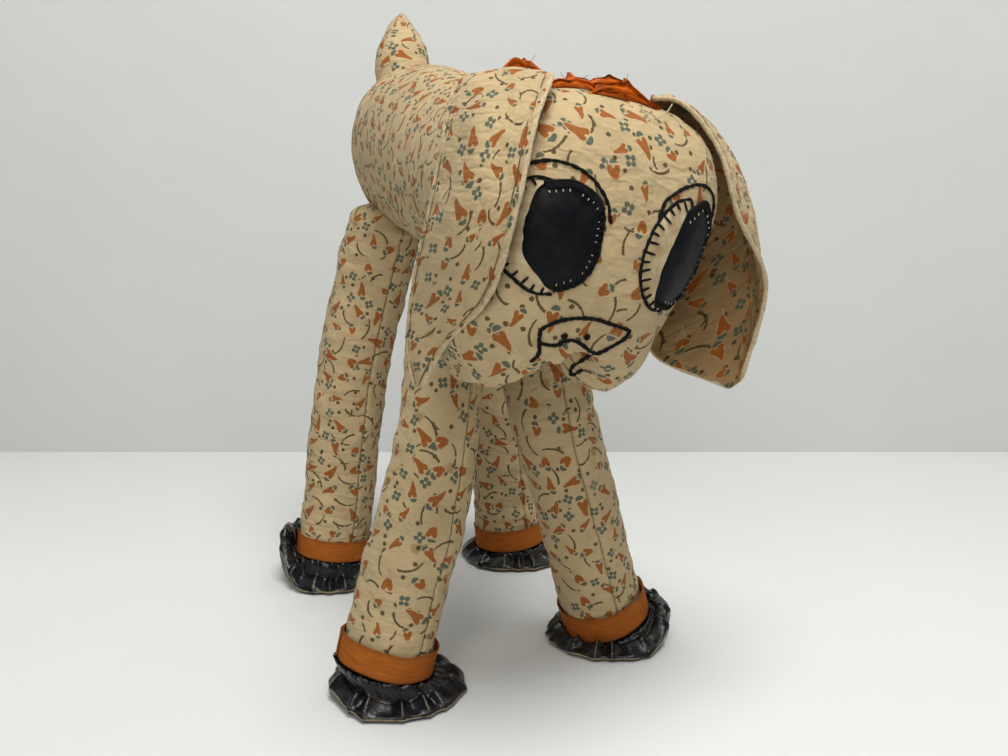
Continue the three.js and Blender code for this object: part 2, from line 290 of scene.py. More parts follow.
class Signal:
    """A number worked out by shader nodes, which plain sums can be written with"""

    def __init__(self, wires, socket):
        self.wires = wires
        self.socket = socket

    def __add__(self, other):
        return self.wires.math("ADD", self, other)

    def __sub__(self, other):
        return self.wires.math("SUBTRACT", self, other)

    def __rsub__(self, other):
        return self.wires.math("SUBTRACT", other, self)

    def __mul__(self, other):
        return self.wires.math("MULTIPLY", self, other)

    def __truediv__(self, other):
        return self.wires.math("DIVIDE", self, other)

    def __abs__(self):
        return self.wires.math("ABSOLUTE", self)

    def most(self, other):
        return self.wires.math("MAXIMUM", self, other)

    def least(self, other):
        return self.wires.math("MINIMUM", self, other)

    def sine(self):
        return self.wires.math("SINE", self)

    def root(self):
        return self.wires.math("SQRT", self)

    def step(self, low, high, reach_low=0.0, reach_high=1.0):
        """Runs softly from one reach to the other while the number runs from low to high"""
        node = self.wires.node(
            "ShaderNodeMapRange", Value=self, From_Min=low, From_Max=high,
            To_Min=reach_low, To_Max=reach_high)
        node.interpolation_type = "SMOOTHSTEP"
        return Signal(self.wires, node.outputs["Result"])


class Wires:
    """Short names for the shader nodes of one material"""

    def __init__(self, name):
        self.material = bpy.data.materials.new(name)
        self.material.use_nodes = True
        self.tree = self.material.node_tree
        self.shader = self.tree.nodes["Principled BSDF"]
        self.column = 0

    def node(self, kind, **inputs):
        node = self.tree.nodes.new(kind)
        node.location = (-220 * (self.column % 12) - 300, -200 * (self.column // 12))
        self.column += 1
        self.feed_all(node, inputs)
        return node

    def feed(self, socket, value):
        if isinstance(value, Signal):
            value = value.socket
        if isinstance(value, bpy.types.NodeSocket):
            self.tree.links.new(value, socket)
        else:
            socket.default_value = value

    def feed_all(self, node, inputs):
        for key, value in inputs.items():
            self.feed(node.inputs[key.replace("_", " ")], value)

    def finish(self, **inputs):
        """Feeds the surface shader and gives the material"""
        self.feed_all(self.shader, inputs)
        return self.material

    def math(self, operation, *values, clamp=False):
        node = self.node("ShaderNodeMath")
        node.operation = operation
        node.use_clamp = clamp
        for socket, value in zip(node.inputs, values):
            self.feed(socket, value)
        return Signal(self, node.outputs[0])

    def vector(self, operation, *values):
        node = self.node("ShaderNodeVectorMath")
        node.operation = operation
        for socket, value in zip(node.inputs, values):
            self.feed(socket, value)
        return node.outputs["Value" if operation == "LENGTH" else "Vector"]

    def length(self, place):
        return Signal(self, self.vector("LENGTH", place))

    def combine(self, x, y, z=0.0):
        return self.node("ShaderNodeCombineXYZ", X=x, Y=y, Z=z).outputs[0]

    def parts(self, place):
        node = self.node("ShaderNodeSeparateXYZ", Vector=place)
        return [Signal(self, socket) for socket in node.outputs]

    def on_object(self):
        return self.node("ShaderNodeTexCoord").outputs["Object"]

    def on_cloth(self):
        """Millimetres on the piece's own flat cloth map"""
        uv = self.node("ShaderNodeUVMap")
        uv.uv_map = "Cloth"
        place = self.vector("SCALE", uv.outputs[0])
        place.node.inputs["Scale"].default_value = 1 / MM
        return place

    def stored(self, name):
        """A value that the piece's vertices hold"""
        node = self.node("ShaderNodeAttribute")
        node.attribute_name = name
        return Signal(self, node.outputs["Fac"])

    def mix(self, share, first, second):
        node = self.node("ShaderNodeMix")
        node.data_type = "RGBA"
        self.feed_all(node, {"Factor": share, "A": first, "B": second})
        return node.outputs["Result"]

    def curve(self, value, points):
        node = self.node("ShaderNodeFloatCurve", Value=value)
        line = node.mapping.curves[0]
        line.points[0].location = points[0]
        line.points[1].location = points[-1]
        for point in points[1:-1]:
            line.points.new(*point)
        node.mapping.update()
        return Signal(self, node.outputs[0])

    def cloud(self, place, scale, detail=3.0, rough=0.5):
        node = self.node("ShaderNodeTexNoise", Vector=place, Scale=scale, Detail=detail, Roughness=rough)
        return Signal(self, node.outputs["Fac"])

    def drift(self, place, scale, detail=2.0):
        """Noise with a value of its own for each direction"""
        return self.node("ShaderNodeTexNoise", Vector=place, Scale=scale, Detail=detail).outputs["Color"]

    def scatter(self, place, spacing, shift, evenness):
        """Cells of scattered motifs: the place within a cell, and three numbers that vary by cell"""
        moved = self.vector("ADD", place, (shift[0], shift[1], 0.0))
        cells = self.node(
            "ShaderNodeTexVoronoi", Vector=moved, Scale=1.0 / spacing, Randomness=1 - evenness)
        cells.voronoi_dimensions = "2D"
        inside = self.vector("SUBTRACT", moved, cells.outputs["Position"])
        chances = self.node("ShaderNodeSeparateColor", Color=cells.outputs["Color"])
        return [inside] + [Signal(self, socket) for socket in chances.outputs]

    def turned(self, place, angle):
        node = self.node("ShaderNodeVectorRotate", Vector=place, Angle=angle)
        node.rotation_type = "Z_AXIS"
        return node.outputs[0]

    def relief(self, height, strength, distance, under=None):
        node = self.node("ShaderNodeBump", Height=height, Strength=strength, Distance=distance)
        if under is not None:
            self.feed(node.inputs["Normal"], under)
        return node.outputs[0]


def tint(colour, *factors):
    """A colour with its channels scaled, by one factor or by three"""
    if len(factors) == 1:
        factors *= 3
    return [min(channel * factor, 1.0) for channel, factor in zip(colour, factors)] + [1.0]


# Printed cotton

# half width of a trumpet by the share of its length
TRUMPET_WIDTHS = (
    (0.0, 0.0), (0.03, 0.12), (0.12, 0.22), (0.36, 0.35), (0.6, 0.5), (0.78, 0.66), (0.88, 0.68),
    (0.96, 0.54), (1.0, 0.3))
STAIN_OCHRE = (0.245, 0.145, 0.048, 1.0)
HALO_TAN = (0.50, 0.385, 0.225, 1.0)


def weave_height(w, place, pitch):
    """Over and under of a plain weave: place and pitch are in millimetres"""
    x, y, _ = w.parts(place)
    per_thread = math.pi / pitch
    warp = abs((x * per_thread).sine())
    weft = abs((y * per_thread).sine())
    swap = ((x + y) * per_thread).sine().step(-0.4, 0.4)
    return warp * swap + weft * (1.0 - swap)


def trumpets(w, printed, spacing):
    """Trumpets with a cap at their notched end, and shorter heart-shaped buds in place of some.
    Gives the trumpet, its pale halo, the cap, and where the cloth is clear of them."""
    inside, turn, size, kind = w.scatter(printed, spacing, (3.0, 5.0), 0.62)
    upside_down = w.math("FRACT", size * 7.0).step(0.7, 0.71) * math.pi
    local = w.turned(inside, turn * 2.8 - 1.4 + upside_down)
    scale = size * 0.34 + 0.47
    local = w.vector("DIVIDE", local, w.combine(scale, scale, 1.0))
    x, y, _ = w.parts(local)
    side = abs(x + (y * 0.5).sine() * 0.35)
    share = w.math("MULTIPLY_ADD", y, 1 / 12, 0.58, clamp=True)
    notch = w.math("SUBTRACT", 1.0, side / 1.25, clamp=True) * -1.7 + 4.9
    long_depth = (w.curve(share, TRUMPET_WIDTHS) * 5.0 - side).least(notch - y)
    bud_depth = long_depth.least((y + 1.7).most(0.0).root() * 2.1 - side)
    unless_bud = kind.step(0.58, 0.59) * -20.0 + 20.0
    depth = long_depth.least(unless_bud).most(bud_depth - unless_bud)
    halo = depth.step(-0.75, -0.25)
    cap_x, cap_y, _ = w.parts(w.vector("SUBTRACT", local, (0.6, 6.9, 0.0)))
    cap_out = w.length(w.combine(cap_x / 2.5, (cap_y + cap_x * cap_x * 0.13) / 1.45))
    clear = 1.0 - halo.most(cap_out.step(1.5, 1.2))
    return depth.step(-0.1, 0.28), halo, cap_out.step(1.08, 0.86), clear


def flowers_and_stems(w, printed, spacing):
    """Between the trumpets stands a four-petalled flower with a dot beside it, or a bowed stem.
    Gives the flower, its dot, the stem, and where the cloth is clear of the flower."""
    between, turn, size, kind = w.scatter(printed, spacing, (3.0 + spacing / 2, 5.0 + spacing / 2), 0.6)
    local = w.turned(between, turn * TAU)
    x, y, _ = w.parts(local)
    out = w.length(w.combine(x, y))
    petals = abs(w.math("COSINE", w.math("ARCTAN2", y, x) * 2.0))
    is_flower = kind.step(0.46, 0.45)
    flower = (petals.root() * 2.1 + 0.55 - out).step(-0.12, 0.25) * out.step(0.5, 0.75) * is_flower
    dot = w.length(w.vector("SUBTRACT", local, (4.4, 0.6, 0.0))).step(1.05, 0.75) * is_flower
    bow = size * 5.0 + 5.5
    off_bow = abs(w.length(w.combine(x + bow, y)) - bow)
    thickness = (y + 5.0) / 10.0 * 0.22 + 0.36
    stem = (off_bow - thickness).step(0.14, -0.14) * (abs(y) - (size * 2.6 + 3.6)).step(0.2, -0.2)
    clear = 1.0 - is_flower * out.step(3.6, 3.2)
    return flower, dot, stem * kind.step(0.45, 0.46), clear


def dots_and_dashes(w, printed, spacing):
    """Loose dots and short bowed dashes"""
    loose, turn, _, kind = w.scatter(printed, spacing * 0.56, (11.3, 2.7), 0.25)
    local = w.turned(loose, turn * TAU)
    x, y, _ = w.parts(local)
    dot = w.length(local).step(1.12, 0.82) * kind.step(0.42, 0.41)
    dash = abs(x - y * y * 0.09).step(0.52, 0.3) * abs(y).step(2.4, 2.1) * kind.step(0.86, 0.87)
    return dot.most(dash)


def printed_cotton(name, painted_shade=(1.0, 1.0, 1.0)):
    """Tan plain-weave cotton with scattered trumpets, flowers, stems and dots. The last argument tints the
    whole ground darker as painted shade, for the ear lining
    """
    settings = bpy.context.scene.cloth_dog
    w = Wires(name)
    place = w.on_cloth()
    drift = w.vector("SUBTRACT", w.drift(place, 0.9), (0.5, 0.5, 0.5))
    printed = w.vector("ADD", place, w.vector("MULTIPLY", drift, (0.75, 0.75, 0.0)))
    spacing = settings.print_spacing
    trumpet, halo, cap, clear = trumpets(w, printed, spacing)
    flower, flower_dot, stem, off_flower = flowers_and_stems(w, printed, spacing)
    brown = dots_and_dashes(w, printed, spacing).most(stem).most(flower_dot)
    brown = brown * (clear * off_flower.most(flower_dot))
    teal = cap.most(flower * clear)

    # aged ground, darker in broad patches, with a few ochre stains; the ear lining's ground is tinted
    # darker as a whole, as painted shade
    clean = tint(settings.cotton_colour, *painted_shade)
    dull = tint(clean, 0.8, 0.77, 0.7)
    base = w.mix(w.cloud(place, 0.035, 4.0, 0.6).step(0.35, 0.68), tint(clean, 1.14), clean)
    base = w.mix(w.cloud(place, 0.09, 3.0, 0.6).step(0.5, 0.78) * 0.55, base, dull)
    stain_place, _, _, stain_kind = w.scatter(place, 36.0, (20.0, 31.0), 0.1)
    stain_out = w.length(w.vector("ADD", stain_place, w.vector("MULTIPLY", drift, (3.0, 3.0, 0.0))))
    base = w.mix(stain_out.step(2.6, 1.6) * stain_kind.step(0.5, 0.49) * 0.65, base, STAIN_OCHRE)

    # the print, a little worn
    wear = w.cloud(place, 1.6, 3.0, 0.7).step(0.3, 0.62, 0.86, 1.0)
    pale_orange = tint(settings.orange_colour, 1.15, 1.28, 1.4)
    orange = w.mix(w.cloud(place, 0.5), settings.orange_colour, pale_orange)
    base = w.mix((halo - trumpet) * 0.35, base, HALO_TAN)
    base = w.mix(brown * wear * 0.93, base, settings.brown_colour)
    base = w.mix(teal * wear * 0.95, base, settings.teal_colour)
    base = w.mix(trumpet * wear, base, orange)

    weave = weave_height(w, place, 0.42)
    crumple = w.cloud(place, 0.22, 3.0, 0.55) + w.cloud(place, 0.8, 2.0) * 0.18
    ridged = abs(w.cloud(w.vector("MULTIPLY", place, (0.4, 1.0, 1.0)), 0.11, 2.0) - 0.5).step(0.0, 0.09)
    folds = w.relief(ridged, 0.4, 0.0007, w.relief(crumple, 0.55, 0.0017))
    # the weave's low spots are mixed towards the dull tone: painted shade in its hollows
    return w.finish(
        Base_Color=w.mix((1.0 - weave) * 0.22, base, dull), Roughness=0.88, Sheen_Weight=0.05,
        Sheen_Roughness=0.5, Specular_IOR_Level=0.15, Normal=w.relief(weave, 0.28, 0.00012, folds))


# The other finishes

def plain_cotton(name, colour, rough=0.9):
    """Thread and raw cotton edges"""
    w = Wires(name)
    where = w.on_object()
    tone = w.mix(w.cloud(where, 900.0).step(0.3, 0.7), tint(colour, 0.78), tint(colour, 1.1))
    fuzz = w.relief(w.cloud(where, 2400.0, 2.0), 0.5, 0.00015)
    return w.finish(Base_Color=tone, Roughness=rough, Sheen_Weight=0.15, Normal=fuzz)


def black_oilcloth(name, gloss, worn, shine):
    """Coated cloth: near black, scuffed brown on its folds and finely crazed"""
    w = Wires(name)
    where = w.on_object()
    ridge = w.stored("wear")
    cloud = w.cloud(where, 160.0, 4.0, 0.6)
    fine = w.cloud(where, 900.0, 3.0, 0.6)
    scuff = (ridge + (cloud - 0.5) * 0.9).step(0.6, 1.15) * worn
    dusty = w.cloud(where, 70.0, 3.0, 0.6).step(0.5, 0.66) * (worn * 0.5)
    worn_line = (ridge + (fine - 0.5) * 1.1).step(0.8, 0.98) * (worn * 0.85)
    bent = w.vector("ADD", where, w.vector("MULTIPLY", w.drift(where, 220.0), (0.004, 0.004, 0.004)))
    cells = w.node("ShaderNodeTexVoronoi", Vector=bent, Scale=125.0)
    cells.feature = "DISTANCE_TO_EDGE"
    crack = Signal(w, cells.outputs["Distance"]).step(0.035, 0.012) * (ridge + cloud).step(1.0, 1.3) * worn
    raw = (w.stored("raw_edge") + (fine - 0.5) * 0.5).step(0.42, 0.62)
    tone = w.mix(cloud.step(0.4, 0.7), (0.002, 0.0025, 0.004, 1.0), (0.006, 0.0065, 0.0075, 1.0))
    for share, colour in (
            (scuff, (0.040, 0.031, 0.021, 1.0)), (dusty, (0.040, 0.032, 0.020, 1.0)),
            (worn_line, (0.27, 0.20, 0.11, 1.0)), (crack, (0.23, 0.155, 0.075, 1.0)),
            (raw * 0.9, (0.30, 0.225, 0.125, 1.0))):
        tone = w.mix(share, tone, colour)
    grain = fine * 0.6 + w.cloud(where, 320.0) - crack
    return w.finish(
        Base_Color=tone, Roughness=cloud * 0.28 + gloss + scuff.most(raw) * 0.3,
        Specular_IOR_Level=shine, Normal=w.relief(grain, 0.35, 0.0006))


def cream_oilcloth(name):
    """Coated cloth: cream, browned in patches and specks"""
    w = Wires(name)
    where = w.on_object()
    patches = w.cloud(where, 130.0, 4.0, 0.6).step(0.35, 0.7)
    specks = w.cloud(where, 900.0, 3.0, 0.7).step(0.6, 0.75) * 0.45
    tone = w.mix(patches, (0.50, 0.40, 0.23, 1.0), (0.34, 0.235, 0.11, 1.0))
    tone = w.mix(specks, tone, (0.26, 0.17, 0.08, 1.0))
    return w.finish(Base_Color=tone, Roughness=0.55, Normal=w.relief(w.cloud(where, 500.0), 0.3, 0.0004))


# half the tape's width in millimetres
TAPE_MIDDLE = 6.35


def orange_tape(name, colour, rough, streaks_and_shading):
    """Tape or ribbon on its own cloth map: fine ribs, light and dark streaks along its length with brighter
    patches, grime at both edges. On the ribbon, where they are strongest, the streaks and patches are
    painted highlight and shade of its folds
    """
    w = Wires(name)
    place = w.on_cloth()
    weave = weave_height(w, place, 0.36)
    # bands of colour along the length; on the ribbon they are painted shade and highlight of its lengthwise
    # folds
    fade = w.cloud(w.vector("MULTIPLY", place, (0.12, 1.0, 1.0)), 0.8, 4.0, 0.6)
    light_and_dark_bands = fade.step(0.35 + 0.06 * streaks_and_shading, 0.7 - 0.1 * streaks_and_shading)
    tone = w.mix(light_and_dark_bands, tint(colour, 0.92 - 0.5 * streaks_and_shading), tint(colour, 1.05 + 0.25 * streaks_and_shading))
    # brighter, yellower patches; on the ribbon these are painted highlight
    tone = w.mix(w.cloud(place, 0.12).step(0.5, 0.75) * streaks_and_shading, tone, tint(colour, 1.25, 1.5, 1.7))
    # the weave's low spots are darker: painted shade in its hollows
    tone = w.mix((1.0 - weave) * 0.3, tone, tint(colour, 0.5))
    _, height, _ = w.parts(place)
    grime = (abs(height - TAPE_MIDDLE) + fade * 2.0).step(5.2, 7.4) * 0.6
    tone = w.mix(grime, tone, tint(colour, 0.42, 0.5, 0.9))
    crease = w.cloud(w.vector("MULTIPLY", place, (0.35, 1.0, 1.0)), 0.55, 3.0, 0.6)
    ribs = w.relief(weave, 0.3, 0.0001, w.relief(crease, 0.2 + 0.5 * streaks_and_shading, 0.001))
    return w.finish(Base_Color=tone, Roughness=rough, Specular_IOR_Level=0.08, Normal=ribs)


def black_thread(name):
    """Two-ply embroidery thread with a fine slanted twist"""
    w = Wires(name)
    where = w.on_object()
    x, y, z = w.parts(where)
    twist = ((x + z + y * 0.6) * 7500.0).sine()
    fuzz = w.cloud(where, 2500.0, 2.0)
    tone = w.mix(fuzz.step(0.4, 0.75), (0.003, 0.003, 0.0035, 1.0), (0.0108, 0.0108, 0.0121, 1.0))
    return w.finish(
        Base_Color=tone, Roughness=0.8, Specular_IOR_Level=0.15, Normal=w.relief(twist + fuzz, 0.6, 0.0002))


# each finish: its maker, its name and what the maker needs
FINISHES = {
    "printed_cotton": (printed_cotton, "Printed cotton"),
    # the ears' inner layer: the same cotton, darkened as painted shade
    "ear_lining": (printed_cotton, "Ear lining", (0.60, 0.50, 0.40)),
    # dark cords for seams: thread, and painted shade of the groove they lie in
    "tan_thread": (plain_cotton, "Tan thread", (0.12, 0.075, 0.032)),
    "seam_edge": (plain_cotton, "Seam edge", (0.50, 0.39, 0.23)),
    "cream_thread": (plain_cotton, "Cream thread", (0.40, 0.33, 0.22)),
    "ribbon_thread": (plain_cotton, "Ribbon thread", (0.36, 0.06, 0.008), 0.6),
    "foot_oilcloth": (black_oilcloth, "Black oilcloth, gathered", 0.12, 0.95, 0.36),
    "pupil_oilcloth": (black_oilcloth, "Black oilcloth, flat", 0.28, 0.1, 0.12),
    "cream_oilcloth": (cream_oilcloth, "Cream oilcloth"),
    # the last number sets the streaks and bright patches, which on the ribbon are painted highlight and
    # shade
    "orange_tape": (orange_tape, "Orange tape", (0.37, 0.105, 0.016), 0.85, 0.2),
    "orange_ribbon": (orange_tape, "Orange ribbon", (0.44, 0.078, 0.001), 0.42, 1.1),
    "black_thread": (black_thread, "Black thread"),
}
MATERIALS = {}


def material(key):
    """Each finish is made once, when the first piece asks for it"""
    if key not in MATERIALS:
        maker, *details = FINISHES[key]
        MATERIALS[key] = maker(*details)
    return MATERIALS[key]


# Stuffed tubes: the torso, the tail and the legs

# the share of a tube's rows that round each of its ends
END_ROWS = 0.14


def stuffed_tube(path, girth, round_start, round_end, columns, rows, seam_angle, crowding, relief):
    """A closed tube round a path, from a sphere, with the places along its seam. Its columns
    crowd towards the seam, and relief gives how far a point stands out, from its angle off the
    seam, its share of the length, its distance along it and how open the tube is there."""
    bm = bmesh.new()
    bmesh.ops.create_uvsphere(bm, u_segments=columns, v_segments=rows, radius=1.0)
    uv = bm.loops.layers.uv.new("Cloth")
    shares, rims, arcs = [], [], [0.0]
    for k in range(rows + 1):
        f = k / rows
        quarter = min(f, 1 - f) / END_ROWS * math.pi / 2
        if quarter < math.pi / 2:
            rounded = 1 - math.cos(quarter)
            shares.append(round_start * rounded if f < 0.5 else 1 - round_end * rounded)
            rims.append(math.sin(quarter))
        else:
            straight = (f - END_ROWS) / (1 - 2 * END_ROWS)
            shares.append(round_start + straight * (1 - round_start - round_end))
            rims.append(1.0)
    sections = [section_axes(path, min(max(share, 0.0), 1.0)) for share in shares]
    sizes = [keyed(girth, share) for share in shares]
    for k in range(rows):
        drop = sizes[k][0] * abs(rims[k + 1] - rims[k])
        arcs.append(arcs[-1] + math.hypot(drop, (sections[k + 1][0] - sections[k][0]).length))
    around = TAU * sum(size[0] + size[1] for size in sizes) / len(sizes) / 2
    turns, levels, seam = {}, {}, {}
    for vert in bm.verts:
        k = sphere_row(vert.co.z, rows)
        a = math.atan2(vert.co.y, vert.co.x)
        a = a - crowding * math.sin(a)
        turns[vert.index], levels[vert.index] = a, k
        centre, across, over, _ = sections[k]
        half_width, half_depth = sizes[k]
        angle = a + seam_angle
        outward = across * math.cos(angle) + over * math.sin(angle)
        lift = relief(a, shares[k], arcs[k], rims[k]) if rims[k] > 0.02 else 0.0
        vert.co = (
            centre + across * (math.cos(angle) * half_width * rims[k])
            + over * (math.sin(angle) * half_depth * rims[k]) + outward * lift)
        if abs(a) < 1e-4:
            seam[k] = vert.co + outward * 0.15
    for face in bm.faces:
        angles = [turns[loop.vert.index] for loop in face.loops if rims[levels[loop.vert.index]] > 1e-6]
        wraps = max(angles) - min(angles) > math.pi
        middle = sum(a + (TAU if wraps and a < 0 else 0) for a in angles) / len(angles)
        for loop in face.loops:
            k = levels[loop.vert.index]
            a = turns[loop.vert.index]
            if rims[k] <= 1e-6:
                a = middle
            elif wraps and a < 0:
                a += TAU
            loop[uv].uv = (a / TAU * around * MM, arcs[k] * MM)
    return bm, [seam[k] for k in sorted(seam)]


def path_through(*places):
    return [Vector(place) for place in places]


# paths as places down the middle, girths as share of the length, half width and half depth
TORSO_PATH = path_through((-2, -44, 222), (-2, 45, 231), (-3, 110, 241), (-3, 191, 247))
TORSO_GIRTH = [(0, 36, 40), (0.3, 37, 43), (0.65, 38, 45), (1, 38, 47)]
TAIL_PATH = path_through((-6, 158, 272), (-6, 170, 290), (-4, 180, 306), (-2, 187, 322))
TAIL_GIRTH = [(0, 14, 14), (0.3, 16, 16), (0.55, 13.6, 13.6), (0.8, 8.2, 8.2), (1, 2.4, 2.4)]
ANKLE_RADIUS = 20.3
# by leg: its path, the middle of the foot, how far the foot's raised side stands up and where it
# is in degrees, the seam's place in degrees, the seed of its folds, and how slim its top is
LEGS = {
    "front_right": {
        "path": path_through(
            (-22, 6, 212), (-30, 1, 168), (-36, -6, 130), (-44, -9, 91), (-55, -10, 54),
            (-65, -10, 14)),
        "foot": (-60.5, -10), "rise": 4, "side": 150, "seam": -62, "seed": 3.1, "top": 0.84},
    "front_left": {
        "path": path_through(
            (15, 7, 212), (13, 3, 168), (18, 0, 130), (29, 3, 91), (41, 7, 54), (54, 11, 10)),
        "foot": (56, 10), "rise": 14, "side": 10, "seam": -88, "seed": 17.7, "top": 1.0},
    "hind_right": {
        "path": path_through(
            (-23, 138, 214), (-31, 140, 184), (-42, 142, 140), (-50, 143, 95), (-55, 143, 51),
            (-60, 141, 13.5)),
        "foot": (-61, 141), "rise": 24, "side": 140, "seam": -72, "seed": 29.3, "top": 1.0},
    "hind_left": {
        "path": path_through(
            (16, 136, 214), (22, 138, 184), (32, 138, 140), (40, 138, 95), (44, 138, 51),
            (48, 137, 9.5)),
        "foot": (50, 137), "rise": 3, "side": 30, "seam": -80, "seed": 41.9, "top": 1.0},
}


class CLOTHDOG_OT_torso(bpy.types.Operator):
    """Sew and stuff the torso and the tail"""

    bl_idname = "clothdog.torso"
    bl_label = "Torso and Tail"

    def execute(self, context):
        def torso_relief(a, share, run, rim):
            gather = bump(share, 1.0, 0.12) * 0.9 * math.sin(a * 17 + 2.5 * math.sin(a * 3))
            soft = 1.5 * ring_ripple(a, 40, run, 46)
            creases = 0.6 * ring_ripple(a, 40, run * 2.2, 15)
            return (gather + soft + creases) * rim

        bm, _ = stuffed_tube(TORSO_PATH, TORSO_GIRTH, 0.16, 0.2, 96, 112, math.pi, 0.0, torso_relief)
        torso = finish_piece(bm, "stuffed_torso", "printed_cotton", ["torso"])
        stuff_with_filling(torso, 3.0, 1.6)
        shift_print(torso, 0, 3)
        add_rounding(torso)

        def tail_relief(a, share, run, rim):
            soft = 0.9 * ring_ripple(a, 12, run, 16)
            creases = 0.7 * ripple(math.cos(a) * 8, run * 1.7, math.sin(a) * 8, 7)
            return (soft + creases - 1.2 * bump(a, 0, 0.08)) * rim

        bm, _ = stuffed_tube(TAIL_PATH, TAIL_GIRTH, 0.1, 0.14, 48, 48, math.radians(-60), 0.5, tail_relief)
        tail = finish_piece(bm, "stuffed_tail", "printed_cotton", ["tail"])
        shift_print(tail, 31, 47)
        add_rounding(tail)
        return {"FINISHED"}


class CLOTHDOG_OT_legs(bpy.types.Operator):
    """Sew and stuff the four legs"""

    bl_idname = "clothdog.legs"
    bl_label = "Legs"

    def execute(self, context):
        radius = context.scene.cloth_dog.leg_radius
        leg_sizes = (
            (0, radius + 1), (0.25, radius + 0.6), (0.45, radius + 0.3), (0.62, radius),
            (0.9, ANKLE_RADIUS), (1, ANKLE_RADIUS))
        for place, leg in LEGS.items():
            seed = leg["seed"]
            girth = []
            for share, size in leg_sizes:
                slimmed = size * leg["top"] ** (1 - smooth(share, 0.3, 0.62))
                girth.append((share, slimmed, slimmed))

            def relief(a, share, run, rim):
                x, y = math.cos(a) * 20, math.sin(a) * 20
                soft = 1.4 * ripple(x + seed, y, run, 34)
                cross = 0.85 * ripple(x * 0.5 + seed, y * 0.5, run * 1.9, 12)
                slack = bump(share, 0.12, 0.16) + 0.35 * bump(share, 0.97, 0.06)
                folds = 1.5 * slack * ripple(x * 0.6, y * 0.6 + seed, run * 1.6 + 9 * math.sin(a), 13)
                pucker = 0.25 * math.sin(run * 1.3 + seed) * bump(a, 0, 0.16)
                seam = -1.2 * bump(a, 0, 0.04) + 0.3 * bump(a, 0, 0.16)
                return (soft + cross + folds + pucker + seam) * smooth(rim, 0.0, 0.5)

            seam_angle = math.radians(leg["seam"])
            bm, seam_line = stuffed_tube(leg["path"], girth, 0.1, 0.02, 72, 132, seam_angle, 0.72, relief)
            piece = finish_piece(bm, f"stuffed_leg_{place}", "printed_cotton", [f"leg_{place}"])
            shift_print(piece, seed * 11, seed * 7)
            add_rounding(piece)
            # a dark cord along the seam: its stitching, and painted shade of the seam's groove
            bm = bmesh.new()
            edge_cord(bm, seam_line[12:-8], 0.2, 5)
            finish_piece(bm, f"leg_seam_{place}", "tan_thread")
        return {"FINISHED"}


# Head

HEAD_TURN = (
    Matrix.Translation((0, -58, 206)) @ Matrix.Rotation(math.radians(6), 4, "Z")
    @ Matrix.Rotation(math.radians(10), 4, "Y") @ Matrix.Rotation(math.radians(6), 4, "X"))
# how far the head stands out in front and behind, and how square its sides are
HEAD_FRONT = 44
HEAD_BACK = 36
HEAD_FULLNESS = 2.35
# half sizes of the ball that gives the directions in which the head's folds stand out
HEAD_BALL = (60, 42, 62)
# angle from level in degrees, radius on the dog's left and on its right
HEAD_OUTLINE = [
    (-90, 62, 62), (-71, 64, 66), (-55, 62, 67), (-38, 54.5, 61), (-20, 52.5, 54), (-5, 55.5, 50),
    (11, 60, 50), (25, 66, 52), (43, 70, 57), (60, 66.5, 60), (73, 61.5, 60), (90, 59, 59)]
# the cleft between the jowls, in millimetres and degrees
CLEFT_DEPTH = 26
CLEFT_HALF_ANGLE = 26
# the share of the head's rows in its front panel, how far the cloth map is drawn in, and where
# the back panel lies on it in metres
FRONT_ROWS = 0.53
MAP_EASE = 0.93
BACK_PANEL_AT = 0.2


def head_radius(degrees):
    on_right = abs(degrees) > 90
    steepness = math.copysign(180, degrees) - degrees if on_right else degrees
    return keyed(HEAD_OUTLINE, steepness)[1 if on_right else 0]


def head_direction(angle, forward):
    """A direction from the head's middle: an angle seen from the front, and its share along Y"""
    rim = math.sqrt(max(1 - forward ** 2, 0.0))
    return Vector((rim * math.cos(angle), forward, rim * math.sin(angle)))


def head_point(direction):
    """A point of the head's skin in the head's own frame, by a direction from its middle"""
    angle = math.atan2(direction.z, direction.x)
    rim = min(math.hypot(direction.x, direction.z), 1.0)
    from_cleft = abs(math.degrees(math.atan2(math.cos(angle), -math.sin(angle))))
    notch = CLEFT_DEPTH * (1 - smooth(from_cleft, 0, CLEFT_HALF_ANGLE)) * smooth(rim, 0.5, 0.92)
    power = 2 / HEAD_FULLNESS
    radius = head_radius(math.degrees(angle)) * rim ** power - notch
    depth = -HEAD_FRONT if direction.y < 0 else HEAD_BACK
    return Vector((radius * math.cos(angle), depth * abs(direction.y) ** power, radius * math.sin(angle)))


